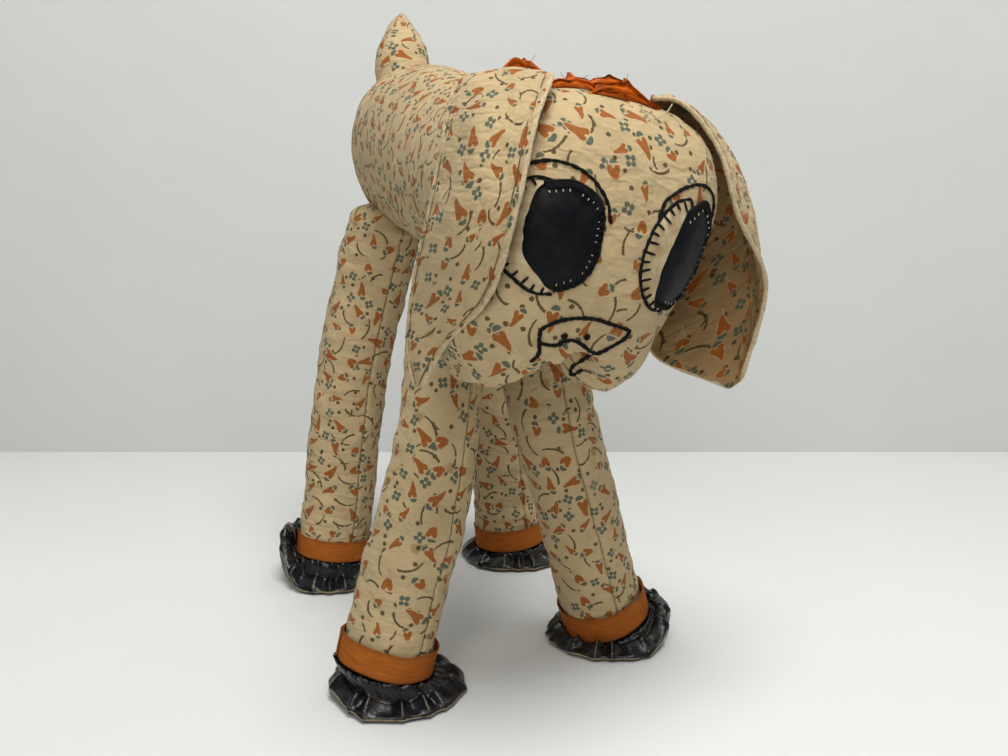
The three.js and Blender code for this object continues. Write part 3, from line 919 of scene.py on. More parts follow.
class CLOTHDOG_OT_head(bpy.types.Operator):
    """Sew and stuff the head, with its two jowls"""

    bl_idname = "clothdog.head"
    bl_label = "Head"

    def execute(self, context):
        columns, rows = 216, 144
        bm = bmesh.new()
        bmesh.ops.create_uvsphere(bm, u_segments=columns, v_segments=rows, radius=1.0)
        uv = bm.loops.layers.uv.new("Cloth")
        arc_tables = {}

        def arc(column, row):
            if column not in arc_tables:
                angle = column / columns * TAU
                table, last = [0.0], head_point(Vector((0, -1, 0)))
                for k in range(1, rows + 1):
                    here = head_point(head_direction(angle, -math.cos(math.pi * k / rows)))
                    table.append(table[-1] + (here - last).length)
                    last = here
                arc_tables[column] = table
            return arc_tables[column][row]

        flat = {}
        for vert in bm.verts:
            row = sphere_row(vert.co.z, rows)
            angle = math.atan2(vert.co.y, vert.co.x) % TAU
            column = round(angle / TAU * columns) % columns
            direction = Vector((vert.co.x, -vert.co.z, vert.co.y))
            run = arc(column, row)
            on_back = row > rows * FRONT_ROWS
            reach = (arc(column, rows) - run if on_back else run) * MAP_EASE
            mirror = -1 if on_back else 1
            x, y = mirror * reach * math.cos(angle), reach * math.sin(angle)
            flat[vert.index] = (x * MM, y * MM, on_back)
            point = head_point(direction)
            outward = Vector([point[k] / HEAD_BALL[k] ** 2 for k in range(3)]).normalized()
            jowl = smooth(-point.z, 20, 46)
            muzzle = bump(point.x, -4, 16) * bump(point.z, -44, 13) * (1 if point.y < 0 else 0)
            lift = 1.1 * ripple(point.x, point.y, point.z, 40)
            lift += 0.45 * ripple(point.x * 1.4, point.y, point.z, 14)
            lift += jowl * 0.7 * ripple(point.x * 2, point.y, point.z, 12)
            lift += muzzle * 2.2 * ripple(point.x * 0.5 + point.z * 0.6, point.y, point.z * 1.2, 6)
            vert.co = HEAD_TURN @ (point + outward * lift)
        for face in bm.faces:
            back = sum(flat[loop.vert.index][2] for loop in face.loops) >= len(face.loops) / 2
            for loop in face.loops:
                x, y, on_back = flat[loop.vert.index]
                if on_back != back:
                    x = -x
                loop[uv].uv = (x + (BACK_PANEL_AT if back else 0.0), y)
        head = finish_piece(bm, "stuffed_head", "printed_cotton", ["head"])
        shift_print(head, 4, 9)
        stuff_with_filling(head, 2.5, 1.2)
        press_folds(head)
        self.sew_jowls()
        return {"FINISHED"}

    def sew_jowls(self):
        """A pale rolled seam follows the lower edge of both jowls"""
        surface = HeadSurface()
        line = []
        for i in range(121):
            direction = head_direction(math.radians(188 + 164 * i / 120), -0.34)
            spot = surface.tree.find_nearest(to_frame(HEAD_TURN @ head_point(direction)))[0]
            line.append(from_frame(spot))
        bm = bmesh.new()
        edge_cord(bm, line, 0.5, 6)
        finish_piece(bm, "jowl_seam", "seam_edge")


# pixels of a fold in the photograph, depth and half width in millimetres
HEAD_FOLDS = (
    (((423, 387), (455, 383), (490, 371), (525, 357), (557, 344)), 1.5, 2.2),
    (((575, 349), (560, 358), (547, 366), (535, 374)), 1.6, 2.0))
FOLD_STEPS = 59


def press_folds(head):
    """Presses a groove with a soft lip into the head along each fold"""
    surface = HeadSurface()
    for line, depth, width in HEAD_FOLDS:
        spots = [surface.from_view(px, py)[0] for px, py in line]
        places = KDTree(FOLD_STEPS + 1)
        for i in range(FOLD_STEPS + 1):
            places.insert(to_frame(along(spots, i / FOLD_STEPS)), i)
        places.balance()
        moves = []
        for vert in head.data.vertices:
            _, i, away = places.find(vert.co)
            away /= MM
            if away < width * 4:
                fade = smooth(i, 0, 8) * smooth(FOLD_STEPS - i, 0, 8)
                lip = 0.45 * bump(away, width * 1.9, width * 0.8)
                moves.append((vert, vert.normal * ((lip - bump(away, 0, width)) * depth * fade * MM)))
        for vert, move in moves:
            vert.co += move


# how far the head is from the camera in metres
HEAD_DISTANCE = 0.43


class HeadSurface:
    """Finds places on the finished head from positions on its front"""

    def __init__(self):
        graph = bpy.context.evaluated_depsgraph_get()
        self.tree = BVHTree.FromObject(bpy.data.objects["stuffed_head"], graph)

    def place(self, x, z, lift):
        """The point of the head's skin at x, z of the head's frame, lifted off it, and its normal"""
        start = to_frame(HEAD_TURN @ Vector((x, -80, z)))
        near = to_frame(HEAD_TURN @ Vector((x, -20, z)))
        spot, normal = self.first_hit(start, HEAD_TURN.to_3x3() @ Vector((0, 1, 0)), near)
        return spot + normal * lift, normal

    def from_view(self, px, py):
        """The point of the head's skin that the photograph shows at a pixel, and its normal"""
        view = bpy.data.objects["Photograph view"]
        towards = view.rotation_euler.to_matrix() @ Vector((
            (px - PHOTO_MIDDLE[0]) / PHOTO_FOCUS, (PHOTO_MIDDLE[1] - py) / PHOTO_FOCUS, -1.0))
        return self.first_hit(view.location, towards, view.location + towards * HEAD_DISTANCE)

    def first_hit(self, start, towards, otherwise_near):
        towards_unit = towards.normalized()
        hit, normal, _, _ = self.tree.ray_cast(start, towards_unit)
        if hit is None:
            hit, normal, _, _ = self.tree.find_nearest(otherwise_near)
        if normal.dot(towards_unit) > 0:
            normal = -normal
        return from_frame(hit), normal


# Eyes

# outlines and lines in the head's own frame: sideways and up
EYES = {
    "right": {
        "white": (
            (-26, 22.5), (-32, 24), (-38.9, 19.3), (-43, 10), (-43.5, 0), (-40, -7.5),
            (-35.7, -11.5), (-28.5, -15.6), (-22, -15), (-16, 4)),
        "pupil": (
            (-8.1, 10.6), (-9.0, 17.5), (-13.6, 22.6), (-21.5, 25.0), (-30.5, 22.8), (-34.6, 14),
            (-35.3, 3.1), (-33.0, -4.5), (-28.0, -9.8), (-21.1, -13.9), (-13.0, -9.5),
            (-8.8, -1.5)),
        "brow": ((-45, 20), (-38.4, 26.5), (-28.3, 31), (-16.4, 29), (-7.2, 20.5), (-4.8, 13.5)),
        "edge": (
            (-27, 24), (-33, 24.5), (-39.2, 19.8), (-43.4, 10), (-43.8, 0), (-40.2, -7.8),
            (-35.7, -11.9), (-28.5, -16), (-21.5, -15.4)),
        "pupil_rim": (
            (-30.5, 22.8), (-21.5, 25.0), (-13.6, 22.6), (-9.0, 17.5), (-8.1, 10.6),
            (-8.8, -1.5), (-13.0, -9.5), (-21.1, -13.9)),
    },
    "left": {
        "white": (
            (30, 26.5), (23, 24.5), (15.7, 16.6), (12.8, 8), (12.3, -1.4), (15, -9),
            (21.2, -15.2), (29, -15.6), (36, 2)),
        "pupil": (
            (44, 11), (43, 20), (37.6, 27), (28.4, 22), (23.6, 13), (20.6, 2.5), (20.6, -5),
            (22.5, -13.4), (31.7, -15.2), (38.5, -9), (42.5, 1)),
        "brow": (
            (15.5, 18.5), (17.8, 24.5), (23, 28.8), (29.2, 31.8), (36.1, 33), (45.4, 29.5),
            (47.5, 22)),
        "edge": (
            (30, 27.2), (23, 25), (15.3, 16.8), (12.3, 8), (11.8, -1.4), (14.6, -9.3),
            (21.2, -15.7), (29, -16.2)),
        "pupil_rim": (
            (28.4, 22), (37.6, 27), (43, 20), (44, 11), (42.5, 1), (38.5, -9), (31.7, -15.2),
            (22.5, -13.8)),
    },
}


def closed_outline(points):
    """Radius of a closed outline at any angle round its middle"""
    middle = Vector((sum(p[0] for p in points), sum(p[1] for p in points))) / len(points)
    spots = []
    total = len(points)
    for i in range(total):
        p0, p1, p2, p3 = (Vector(points[(i + k) % total]) for k in (-1, 0, 1, 2))
        for s in range(10):
            t = s / 10
            square = (2 * p0 - 5 * p1 + 4 * p2 - p3) * t ** 2
            cube = (3 * p1 - p0 - 3 * p2 + p3) * t ** 3
            spots.append(0.5 * (2 * p1 + (p2 - p0) * t + square + cube) - middle)
    polar = sorted((math.atan2(s.y, s.x), s.length) for s in spots)

    def radius(angle):
        angle = (angle + math.pi) % TAU - math.pi
        for (a0, r0), (a1, r1) in zip(polar, polar[1:]):
            if a0 <= angle <= a1:
                return r0 + (r1 - r0) * (angle - a0) / max(a1 - a0, 1e-9)
        return polar[0][1]

    return middle, radius


def eye_patch(surface, name, points, lift, thickness, finish, nodes):
    """A thin patch with a rolled edge, laid on the head inside a closed outline"""
    middle, radius = closed_outline(points)
    bm = bmesh.new()
    bmesh.ops.create_uvsphere(bm, u_segments=96, v_segments=28, radius=1.0)
    wear = bm.verts.layers.float.new("wear")
    raw = bm.verts.layers.float.new("raw_edge")
    for vert in bm.verts:
        angle = math.atan2(vert.co.y, vert.co.x)
        out = min(math.acos(min(abs(vert.co.z), 1.0)) / (math.pi / 2), 1.0)
        spread = out * radius(angle)
        x, y = math.cos(angle) * spread, math.sin(angle) * spread
        height = 0.0
        if vert.co.z > 0:
            wrinkle = 0.22 * ripple(x, y, 4.0, 7) * (1 - out ** 4)
            height = thickness * (1 - out ** 10) + 0.7 * (1 - out ** 2) + wrinkle
        vert[wear] = 0.35 * smooth(out, 0.75, 1.0)
        vert[raw] = 0.5 * smooth(out, 0.965, 1.0)
        vert.co, _ = surface.place(middle.x + x, middle.y + y, lift + height)
    piece = finish_piece(bm, name, finish, nodes)
    patch_size(points)
    patch_area(points)


# what the slant of the cheek hides of a patch's width or height, and of its area
SLANT = 1.12
SLANT_AREA = 1.08


def patch_size(points):
    return [(max(values) - min(values)) * MM * SLANT for values in zip(*points)]


def patch_area(points):
    """Flat area of a cut patch"""
    twice = sum(a[0] * b[1] - b[0] * a[1] for a, b in zip(points, points[1:] + points[:1]))
    return abs(twice) / 2 * MM * MM * SLANT_AREA


def stitch(bm, start, end, normal, radius):
    """One stitch of thread: a slim lens between two points, half sunk in the cloth"""
    run = end - start
    length = max(run.length, 0.2)
    forward = run / length
    side = forward.cross(normal).normalized()
    up = side.cross(forward)
    turn = Matrix((side, up, forward)).transposed().to_4x4()
    size = Matrix.Diagonal((radius, radius * 0.85, length / 2 + radius * 0.5, 1.0))
    matrix = Matrix.Translation((start + end) / 2) @ turn @ size
    bmesh.ops.create_uvsphere(bm, u_segments=7, v_segments=6, radius=1.0, matrix=matrix)


def cross_stitch(bm, surface, spot, way, span, lifts, radius):
    """A stitch across a line on the head: span gives where along the way its two ends are, and
    lifts how far they stand off the head"""
    start, normal = surface.place(spot.x + way.x * span[0], spot.y + way.y * span[0], lifts[0])
    end, _ = surface.place(spot.x + way.x * span[1], spot.y + way.y * span[1], lifts[1])
    stitch(bm, start, end, normal, radius)


def open_line(points, spacing):
    """Evenly spaced places along a rounded open line"""
    line = [Vector((p[0], p[1], 0.0)) for p in points]
    dense = [along(line, i / 240) for i in range(241)]
    places, carried = [dense[0]], 0.0
    for a, b in zip(dense, dense[1:]):
        carried += (b - a).length
        if carried >= spacing:
            places.append(b)
            carried = 0.0
    if (places[-1] - dense[-1]).length > spacing * 0.4:
        places.append(dense[-1])
    return places


def sew_line(bm, surface, points, spacing, radius, lift):
    """Back stitches end to end along a line on the head"""
    places = open_line(points, spacing)
    for i, (a, b) in enumerate(zip(places, places[1:])):
        sway = 0.22 * math.sin(i * 2.4)
        start, normal = surface.place(a.x + sway, a.y, lift)
        end, _ = surface.place(b.x - sway * 0.5, b.y, lift)
        reach = (end - start) * 0.06
        stitch(bm, start - reach, end + reach, normal, radius * (1 + 0.12 * math.sin(i * 1.7)))


class CLOTHDOG_OT_eyes(bpy.types.Operator):
    """Lay the oilcloth eyes on the head"""

    bl_idname = "clothdog.eyes"
    bl_label = "Eyes"

    def execute(self, context):
        surface = HeadSurface()
        for side, eye in EYES.items():
            eye_patch(
                surface, f"cream_patch_{side}", eye["white"], 0.1, 0.6, "cream_oilcloth",
                [f"eye_white_{side}"])
            eye_patch(
                surface, f"black_pupil_{side}", eye["pupil"], 0.9, 0.7, "pupil_oilcloth",
                [f"pupil_{side}"])
        return {"FINISHED"}


NOSE = (
    (-20.0, -34.6), (-21.4, -29.1), (-16.2, -24.9), (-9.1, -22.6), (-2.1, -22.1), (5.3, -23.2),
    (14.5, -24.8))
NOSE_UNDER = (
    (14.5, -24.8), (13.6, -28.4), (10.4, -31.2), (3.8, -35.7), (0.5, -34.6), (-5.5, -32.0),
    (-9.9, -31.4), (-13.1, -34.2), (-20.0, -34.6))
MOUTH_RIGHT = ((-20.0, -34.6), (-19.4, -38.0), (-20.8, -42.5))
MOUTH_IN_VIEW = ((594, 352), (583, 360), (572, 367), (571, 375), (564, 384))
NOSTRILS = ((-11.9, -30.2), (-2.7, -29.4))


class CLOTHDOG_OT_embroidery(bpy.types.Operator):
    """Embroider the brows, the edges of the eyes, the nose and the mouth"""

    bl_idname = "clothdog.embroidery"
    bl_label = "Embroidery"

    def execute(self, context):
        surface = HeadSurface()
        radius = context.scene.cloth_dog.thread_radius
        for side, eye in EYES.items():
            bm = bmesh.new()
            sew_line(bm, surface, eye["brow"], 3.2, radius, 0.25)
            finish_piece(bm, f"brow_stitches_{side}", "black_thread")
            self.sew_eye(surface, side, eye, radius)
        self.sew_nose_and_mouth(surface, radius)
        return {"FINISHED"}

    def sew_eye(self, surface, side, eye, radius):
        """Blanket stitches round the eye and its pupil, and cream stitches on the pupil"""
        middle = sum((Vector((x, y, 0.0)) for x, y in eye["pupil"]), Vector()) / len(eye["pupil"])
        bm = bmesh.new()
        sew_line(bm, surface, eye["edge"], 3.0, radius * 0.85, 0.35)
        for i, spot in enumerate(open_line(eye["edge"], 3.7)[:-1]):
            inward = (middle - spot).normalized()
            inward = (inward + Vector((0, 0.12 * math.sin(i * 2.1), 0))).normalized()
            reach = 3.5 + 0.8 * math.sin(i * 1.9)
            cross_stitch(bm, surface, spot, inward, (0.0, reach), (0.4, 1.55), radius * 0.7)
        sew_line(bm, surface, eye["pupil_rim"], 2.3, radius * 0.95, 1.2)
        for row, inset in enumerate((0.0, 0.05, 0.1)):
            top = [Vector((x, z, 0.0)).lerp(middle, inset) for x, z in eye["pupil_rim"][:4]]
            sew_line(bm, surface, top, 1.9 + 0.2 * row, radius, 1.6)
        for spot in open_line(eye["pupil_rim"], 2.5):
            inward = (middle - spot).normalized()
            cross_stitch(bm, surface, spot, inward, (-0.4, 2.2), (1.2, 2.2), radius * 0.62)
        finish_piece(bm, f"blanket_stitches_{side}", "black_thread")

        bm = bmesh.new()
        for i, spot in enumerate(open_line(eye["pupil_rim"], 2.7)):
            if i % 5 == 4:
                continue
            depth, thickness = (2.9, 0.27) if i < 7 else (2.2, 0.19)
            inward = (middle - spot).normalized()
            cross_stitch(bm, surface, spot, inward, (depth, depth + 0.8), (2.15, 2.25), thickness)
        finish_piece(bm, f"cream_stitches_{side}", "cream_thread")

    def sew_nose_and_mouth(self, surface, radius):
        bm = bmesh.new()
        for line in (NOSE, NOSE_UNDER, MOUTH_RIGHT):
            sew_line(bm, surface, line, 2.6, radius * 1.1, 0.3)
        places = [surface.from_view(px, py) for px, py in MOUTH_IN_VIEW]
        dense = [along([p for p, _ in places], i / 9) for i in range(10)]
        out = (from_frame(bpy.data.objects["Photograph view"].location) - dense[5]).normalized()
        for a, b in zip(dense, dense[1:]):
            stitch(bm, a + out * 0.7, b + out * 0.7, out, radius * 1.25)
        for x, z in NOSTRILS:
            for turn in range(5):
                way = Vector((math.cos(turn / 5 * math.pi), math.sin(turn / 5 * math.pi)))
                cross_stitch(bm, surface, Vector((x, z)), way, (-0.9, 0.9), (0.5, 0.5), radius * 1.15)
        finish_piece(bm, "nose_and_mouth_stitches", "black_thread")


# Ears

EAR_RIGHT = (
    ((-9, -58, 268), (-23, -46, 268), (-35, -34, 263)),
    ((-13, -80, 268), (-26, -66, 271.5), (-40, -48, 267)),
    ((-26, -98, 251), (-40, -91, 251), (-48, -62, 251)),
    ((-35, -104, 222), (-48, -96, 222), (-55, -64, 222)),
    ((-42, -95, 191), (-53, -82, 191), (-60, -56, 192)),
    ((-52, -70, 169), (-58, -64, 168), (-62, -52, 166)),
    ((-59, -62, 152), (-60, -60, 151), (-61, -58, 151)))
EAR_LEFT = (
    ((36, -63, 262), (42, -50, 262), (46, -38, 257)),
    ((44, -73, 260), (55, -55, 260), (60, -34, 251)),
    ((57, -80, 243), (73, -58, 242), (70, -26, 230)),
    ((66, -82, 217), (88, -56, 211), (73, -24, 194)),
    ((88, -70, 187), (90, -54, 177), (54, -31, 156)),
    ((86, -57, 143), (85, -55, 141), (83, -53, 139)))


def ear_flap(rows, name, node, print_shift, seed, settings):
    """A two-layer flap through rows of places, with a top-stitched edge and soft folds"""
    across, down = 72, 112
    row_points = [[Vector(p) for p in row] for row in rows]
    bm = bmesh.new()
    bmesh.ops.create_grid(bm, x_segments=across, y_segments=down, size=0.5)
    columns = [[along(points, i / across) for points in row_points] for i in range(across + 1)]
    grid = [[along(column, j / down) for j in range(down + 1)] for column in columns]
    spread = [sum((grid[i + 1][j] - grid[i][j]).length for i in range(across)) for j in range(down + 1)]
    drop = [0.0]
    for j in range(down):
        drop.append(drop[-1] + (grid[across // 2][j + 1] - grid[across // 2][j]).length)
    flat = {}
    for vert in bm.verts:
        i, j = round((vert.co.x + 0.5) * across), round((vert.co.y + 0.5) * down)
        flat[vert] = ((i / across - 0.5) * spread[j], drop[j])
        wide = grid[min(i + 1, across)][j] - grid[max(i - 1, 0)][j]
        tall = grid[i][min(j + 1, down)] - grid[i][max(j - 1, 0)]
        normal = wide.cross(tall).normalized()
        to_side = min(i, across - i) / across * spread[j]
        to_tip = (drop[-1] - drop[j]) * 0.9
        to_edge = min(to_side, to_tip)
        x, y = i / across * spread[j], drop[j]
        groove = -0.5 * bump(to_edge, 2.6, 0.75)
        pucker = 0.5 * bump(to_edge, 0.5, 3.2) * math.sin(y * 0.55 + seed + 2.5 * math.sin(y * 0.13))
        soft = 1.6 * ripple(x + seed * 9, y * 0.6, seed, 24) * smooth(to_edge, 0, 9)
        crease = 0.35 * ripple(x, y + seed * 5, seed, 8)
        vert.co = grid[i][j] + normal * (groove + pucker + soft + crease)
    map_cloth(bm, flat)
    piece = finish_piece(bm, name, "printed_cotton", [node])
    # the inner layer gets the ear lining: the cotton darkened as painted shade
    piece.data.materials.append(material("ear_lining"))
    middle = piece.data.polygons[len(piece.data.polygons) // 2]
    if middle.normal.dot(middle.center - to_frame(HEAD_TURN.translation)) < 0:
        piece.data.flip_normals()
    shift_print(piece, *print_shift)
    add_thickness(piece, "Two layers", settings.ear_thickness).material_offset = 1
    add_rounding(piece)
    return grid


def inset_line(grid, from_front, inset, lift):
    """Places along an ear, a little inside its front or rear edge and lifted off its face"""
    across = len(grid) - 1
    places = []
    for j in range(3, len(grid[0]) - 1):
        order = range(across + 1) if from_front else range(across, -1, -1)
        row = [grid[i][j] for i in order]
        walked, k = 0.0, 0
        while k < across * 0.4 and walked < inset:
            walked += (row[k + 1] - row[k]).length
            k += 1
        down = grid[across // 2][j + 1] - grid[across // 2][j - 1]
        normal = (row[k + 1] - row[k - 1]).cross(down).normalized()
        outside = row[k] - HEAD_TURN.translation
        places.append(row[k] + normal * (lift if normal.dot(outside) > 0 else -lift))
    return places


def edge_cord(bm, points, radius, segments=8):
    """A thin rolled edge through some points, closed at both ends"""
    last = len(points) - 1
    made = bmesh.ops.create_uvsphere(bm, u_segments=segments, v_segments=last, radius=1.0)
    for vert in made["verts"]:
        k = sphere_row(vert.co.z, last)
        a = math.atan2(vert.co.y, vert.co.x)
        run = points[min(k + 1, last)] - points[max(k - 1, 0)]
        turn = run.to_track_quat("Z", "Y")
        size = radius * (1 + 0.12 * math.sin(k * 0.9) + 0.08 * math.sin(k * 2.3)) * min(k, last - k, 1)
        vert.co = points[k] + turn @ Vector((math.cos(a) * size, math.sin(a) * size, 0.0))


LOOSE_THREAD_IN_VIEW = ((652, 122), (660, 121), (667, 114), (668, 106))
TUFT_IN_VIEW = ((641, 112), (646, 116), (651, 113), (655, 119), (649, 121), (644, 118))


# side, rows, where its cloth is cut from, seed of its folds
EARS = (("right", EAR_RIGHT, (70, 12), 1.3), ("left", EAR_LEFT, (130, 64), 4.9))


class CLOTHDOG_OT_ears(bpy.types.Operator):
    """Sew the two hanging ears"""

    bl_idname = "clothdog.ears"
    bl_label = "Ears"

    def execute(self, context):
        settings = context.scene.cloth_dog
        for side, rows, shift, seed in EARS:
            grid = ear_flap(rows, f"cloth_ear_{side}", f"ear_{side}", shift, seed, settings)
            bm = bmesh.new()
            edge_cord(bm, grid[0][2:], 1.0)
            edge_cord(bm, grid[-1][2:], 0.8)
            finish_piece(bm, f"ear_seam_{side}", "seam_edge")
            # dark cords in the grooves inside both edges: topstitching, and painted shade of the grooves
            bm = bmesh.new()
            lift = settings.ear_thickness / 2 - 0.04
            edge_cord(bm, inset_line(grid, True, 2.2, lift), 0.24, 5)
            edge_cord(bm, inset_line(grid, False, 2.2, lift), 0.15, 5)
            finish_piece(bm, f"ear_topstitch_{side}", "tan_thread")
        self.loose_thread()
        return {"FINISHED"}

    def loose_thread(self):
        """A pale thread hangs in a loop at the root of the left ear, over a tuft of raw edge"""
        surface = HeadSurface()
        bm = bmesh.new()
        places = [surface.from_view(px, py) for px, py in LOOSE_THREAD_IN_VIEW]
        knots = [spot + normal * (1.0 + 1.6 * i) for i, (spot, normal) in enumerate(places)]
        edge_cord(bm, [along(knots, i / 24) for i in range(25)], 0.24, 6)
        for i, (px, py) in enumerate(TUFT_IN_VIEW):
            spot, normal = surface.from_view(px, py)
            for k in range(4):
                aside = Vector((math.sin(i * 2.1 + k * 1.7), 0.2, math.cos(i * 1.3 + k * 2.9)))
                way = (normal + aside * 0.8).normalized()
                end = spot + way * (1.4 + 0.5 * math.sin(k + i))
                stitch(bm, spot - way * 0.4, end, Vector((0.3, -1, 0.2)), 0.17)
        finish_piece(bm, "loose_thread", "cream_thread")


# Ankle bands and gathered feet

# where the tape starts on each leg in degrees, its mean radius, and its turns round the ankle
TAPE_STARTS = {"front_right": 150, "front_left": -20, "hind_right": 100, "hind_left": 60}
TAPE_RADIUS = 21.6
TAPE_TURNS = 1.07


class CLOTHDOG_OT_ankle_bands(bpy.types.Operator):
    """Wrap the tape round each ankle"""

    bl_idname = "clothdog.ankle_bands"
    bl_label = "Ankle Bands"

    def execute(self, context):
        width = context.scene.cloth_dog.tape_width
        sweep = TAU * TAPE_TURNS
        for place, leg in LEGS.items():
            seed = leg["seed"]
            path = leg["path"]
            length = sum((along(path, (i + 1) / 40) - along(path, i / 40)).length for i in range(40))
            bm = bmesh.new()
            bmesh.ops.create_grid(bm, x_segments=128, y_segments=10, size=0.5)
            flat = {}
            for vert in bm.verts:
                u, v = vert.co.x + 0.5, vert.co.y + 0.5
                flat[vert] = (u * sweep * TAPE_RADIUS + seed * 10, v * width)
                a = math.radians(TAPE_STARTS[place]) + u * sweep
                height = v * width + 0.35 * math.sin(a * 3 + seed) + 0.25 * ring_ripple(a, 9, seed, 5)
                lap = 0.9 * smooth(u, 0.9, 0.97)
                roll = 0.35 * bump(v, 0.0, 0.08) + 0.35 * bump(v, 1.0, 0.08)
                wave = 0.45 * ring_ripple(a, 21, v * 7 + seed, 7)
                radius = ANKLE_RADIUS + 1.25 + lap + roll + wave * smooth(v, 0.0, 0.5)
                centre, across, over, _ = section_axes(path, 1 - (height + 0.3) / length)
                vert.co = centre + across * (math.cos(a) * radius) + over * (math.sin(a) * radius)
            map_cloth(bm, flat)
            band = finish_piece(bm, f"tape_{place}", "orange_tape", [f"ankle_band_{place}"])
            add_thickness(band, "Folded edge", 0.7)
            add_rounding(band)
        return {"FINISHED"}


class CLOTHDOG_OT_feet(bpy.types.Operator):
    """Gather the oilcloth feet"""

    bl_idname = "clothdog.feet"
    bl_label = "Feet"

    def execute(self, context):
        outer = context.scene.cloth_dog.foot_radius
        for place, leg in LEGS.items():
            make_foot(place, leg, outer)
        return {"FINISHED"}


def make_foot(place, leg, outer):
    """A disc of oilcloth gathered round the ankle: it stands on the ground, with one side raised"""
    seed = leg["seed"]
    ankle, _, _, axis = section_axes(leg["path"], 1.0)
    collar = ANKLE_RADIUS + 1.6
    side = math.radians(leg["side"])
    # radius, height, share of the raised side, share of the pleats, from the sole to the ankle
    rows = (
        (0.0, 0.2, 0.0, 0.0), (outer - 9, 0.2, 0.0, 0.15), (outer - 3, 0.35, 0.3, 0.6),
        (outer - 0.5, 0.8, 0.8, 1.0), (outer + 0.4, 2.0, 1.0, 1.0), (outer - 0.1, 3.3, 1.0, 1.0),
        (outer - 2.4, 5.0, 0.98, 1.1), (outer - 5.2, 6.8, 0.85, 1.15), (outer - 7.6, 7.4, 0.65, 1.1),
        (collar + 1.8, 1.6, 0.25, 0.8), (collar + 0.2, 0.7, 0.1, 0.6), (collar - 1.5, 0.2, 0.0, 0.3),
        (0.0, 0.0, 0.0, 0.0))
    levels = 36
    bm = bmesh.new()
    bmesh.ops.create_uvsphere(bm, u_segments=240, v_segments=levels, radius=1.0)
    wear = bm.verts.layers.float.new("wear")
    raw = bm.verts.layers.float.new("raw_edge")
    table = [(i / (len(rows) - 1),) + row for i, row in enumerate(rows)]
    for vert in bm.verts:
        f = sphere_row(-vert.co.z, levels) / levels
        row_radius, height, rise, pleat_share = keyed(table, f)
        on_slant = smooth(f, 0.66, 0.76)
        a = math.atan2(vert.co.y, vert.co.x)
        warp = a * 14
        for size, speed, phase in ((1.9, 2, seed), (1.2, 5, seed * 2), (0.8, 9, seed)):
            warp += size * math.sin(a * speed + phase)
        fold = 1 - 2 * abs(math.sin(warp / 2)) ** 0.75
        fine = math.sin(a * 38 + 2.2 * math.sin(a * 4 + seed)) * smooth(f, 0.45, 0.8)
        pleat = pleat_share * (0.75 * fold + 0.25 * fine + 1.3 * ring_ripple(a, 30, seed * 3, 12))
        standing = smooth(math.cos(a - side), 0, 1)
        radius = max(row_radius, 0.0) * (1 - 0.08 * standing * rise)
        if f > 0.05:
            radius += pleat * (0.9 if f < 0.5 else 0.6)
        x, y = radius * math.cos(a), radius * math.sin(a)
        slant = ankle.z - (axis.x * x + axis.y * y) / axis.z - 0.3
        low = height + leg["rise"] * rise * standing + 1.7 * pleat_share * fold * smooth(f, 0.38, 0.55)
        high = slant + height * 0.6 + pleat_share * (1.1 * fold + 0.5 * fine)
        x += leg["foot"][0] + (ankle.x - leg["foot"][0]) * on_slant
        y += leg["foot"][1] + (ankle.y - leg["foot"][1]) * on_slant
        z = low + (high - low) * on_slant
        vert[wear] = smooth(fold, 0.25, 1.0) * smooth(f, 0.3, 0.45) * (1 - 0.7 * smooth(f, 0.66, 0.8))
        vert[raw] = bump(f, 0.335, 0.05) * (0.7 + 0.5 * ripple(a * 9, seed, 0, 3)) + 0.5 * (f < 0.25)
        vert.co = Vector((x, y, max(z, 0.0)))
    piece = finish_piece(bm, f"gathered_foot_{place}", "foot_oilcloth", [f"foot_{place}"])


# Ribbon

# start and end along the crown, depth behind it, height, lean back, number of waves, phase
RIBBON_LEAVES = (
    (-0.10, 0.34, 0.36, 18.8, 5.0, 1.6, 0.4),
    (0.12, 0.48, -0.14, 6.6, 7.0, 1.6, 1.7),
    (0.36, 0.86, -0.06, 8.2, 6.0, 1.8, 3.1),
    (0.38, 0.93, -0.24, 6.8, 3.5, 2.2, 5.2),
)
# the crown's length and the ribbon's rise on the cloth map, in millimetres
RIBBON_RUN = 62
RIBBON_RISE = 13


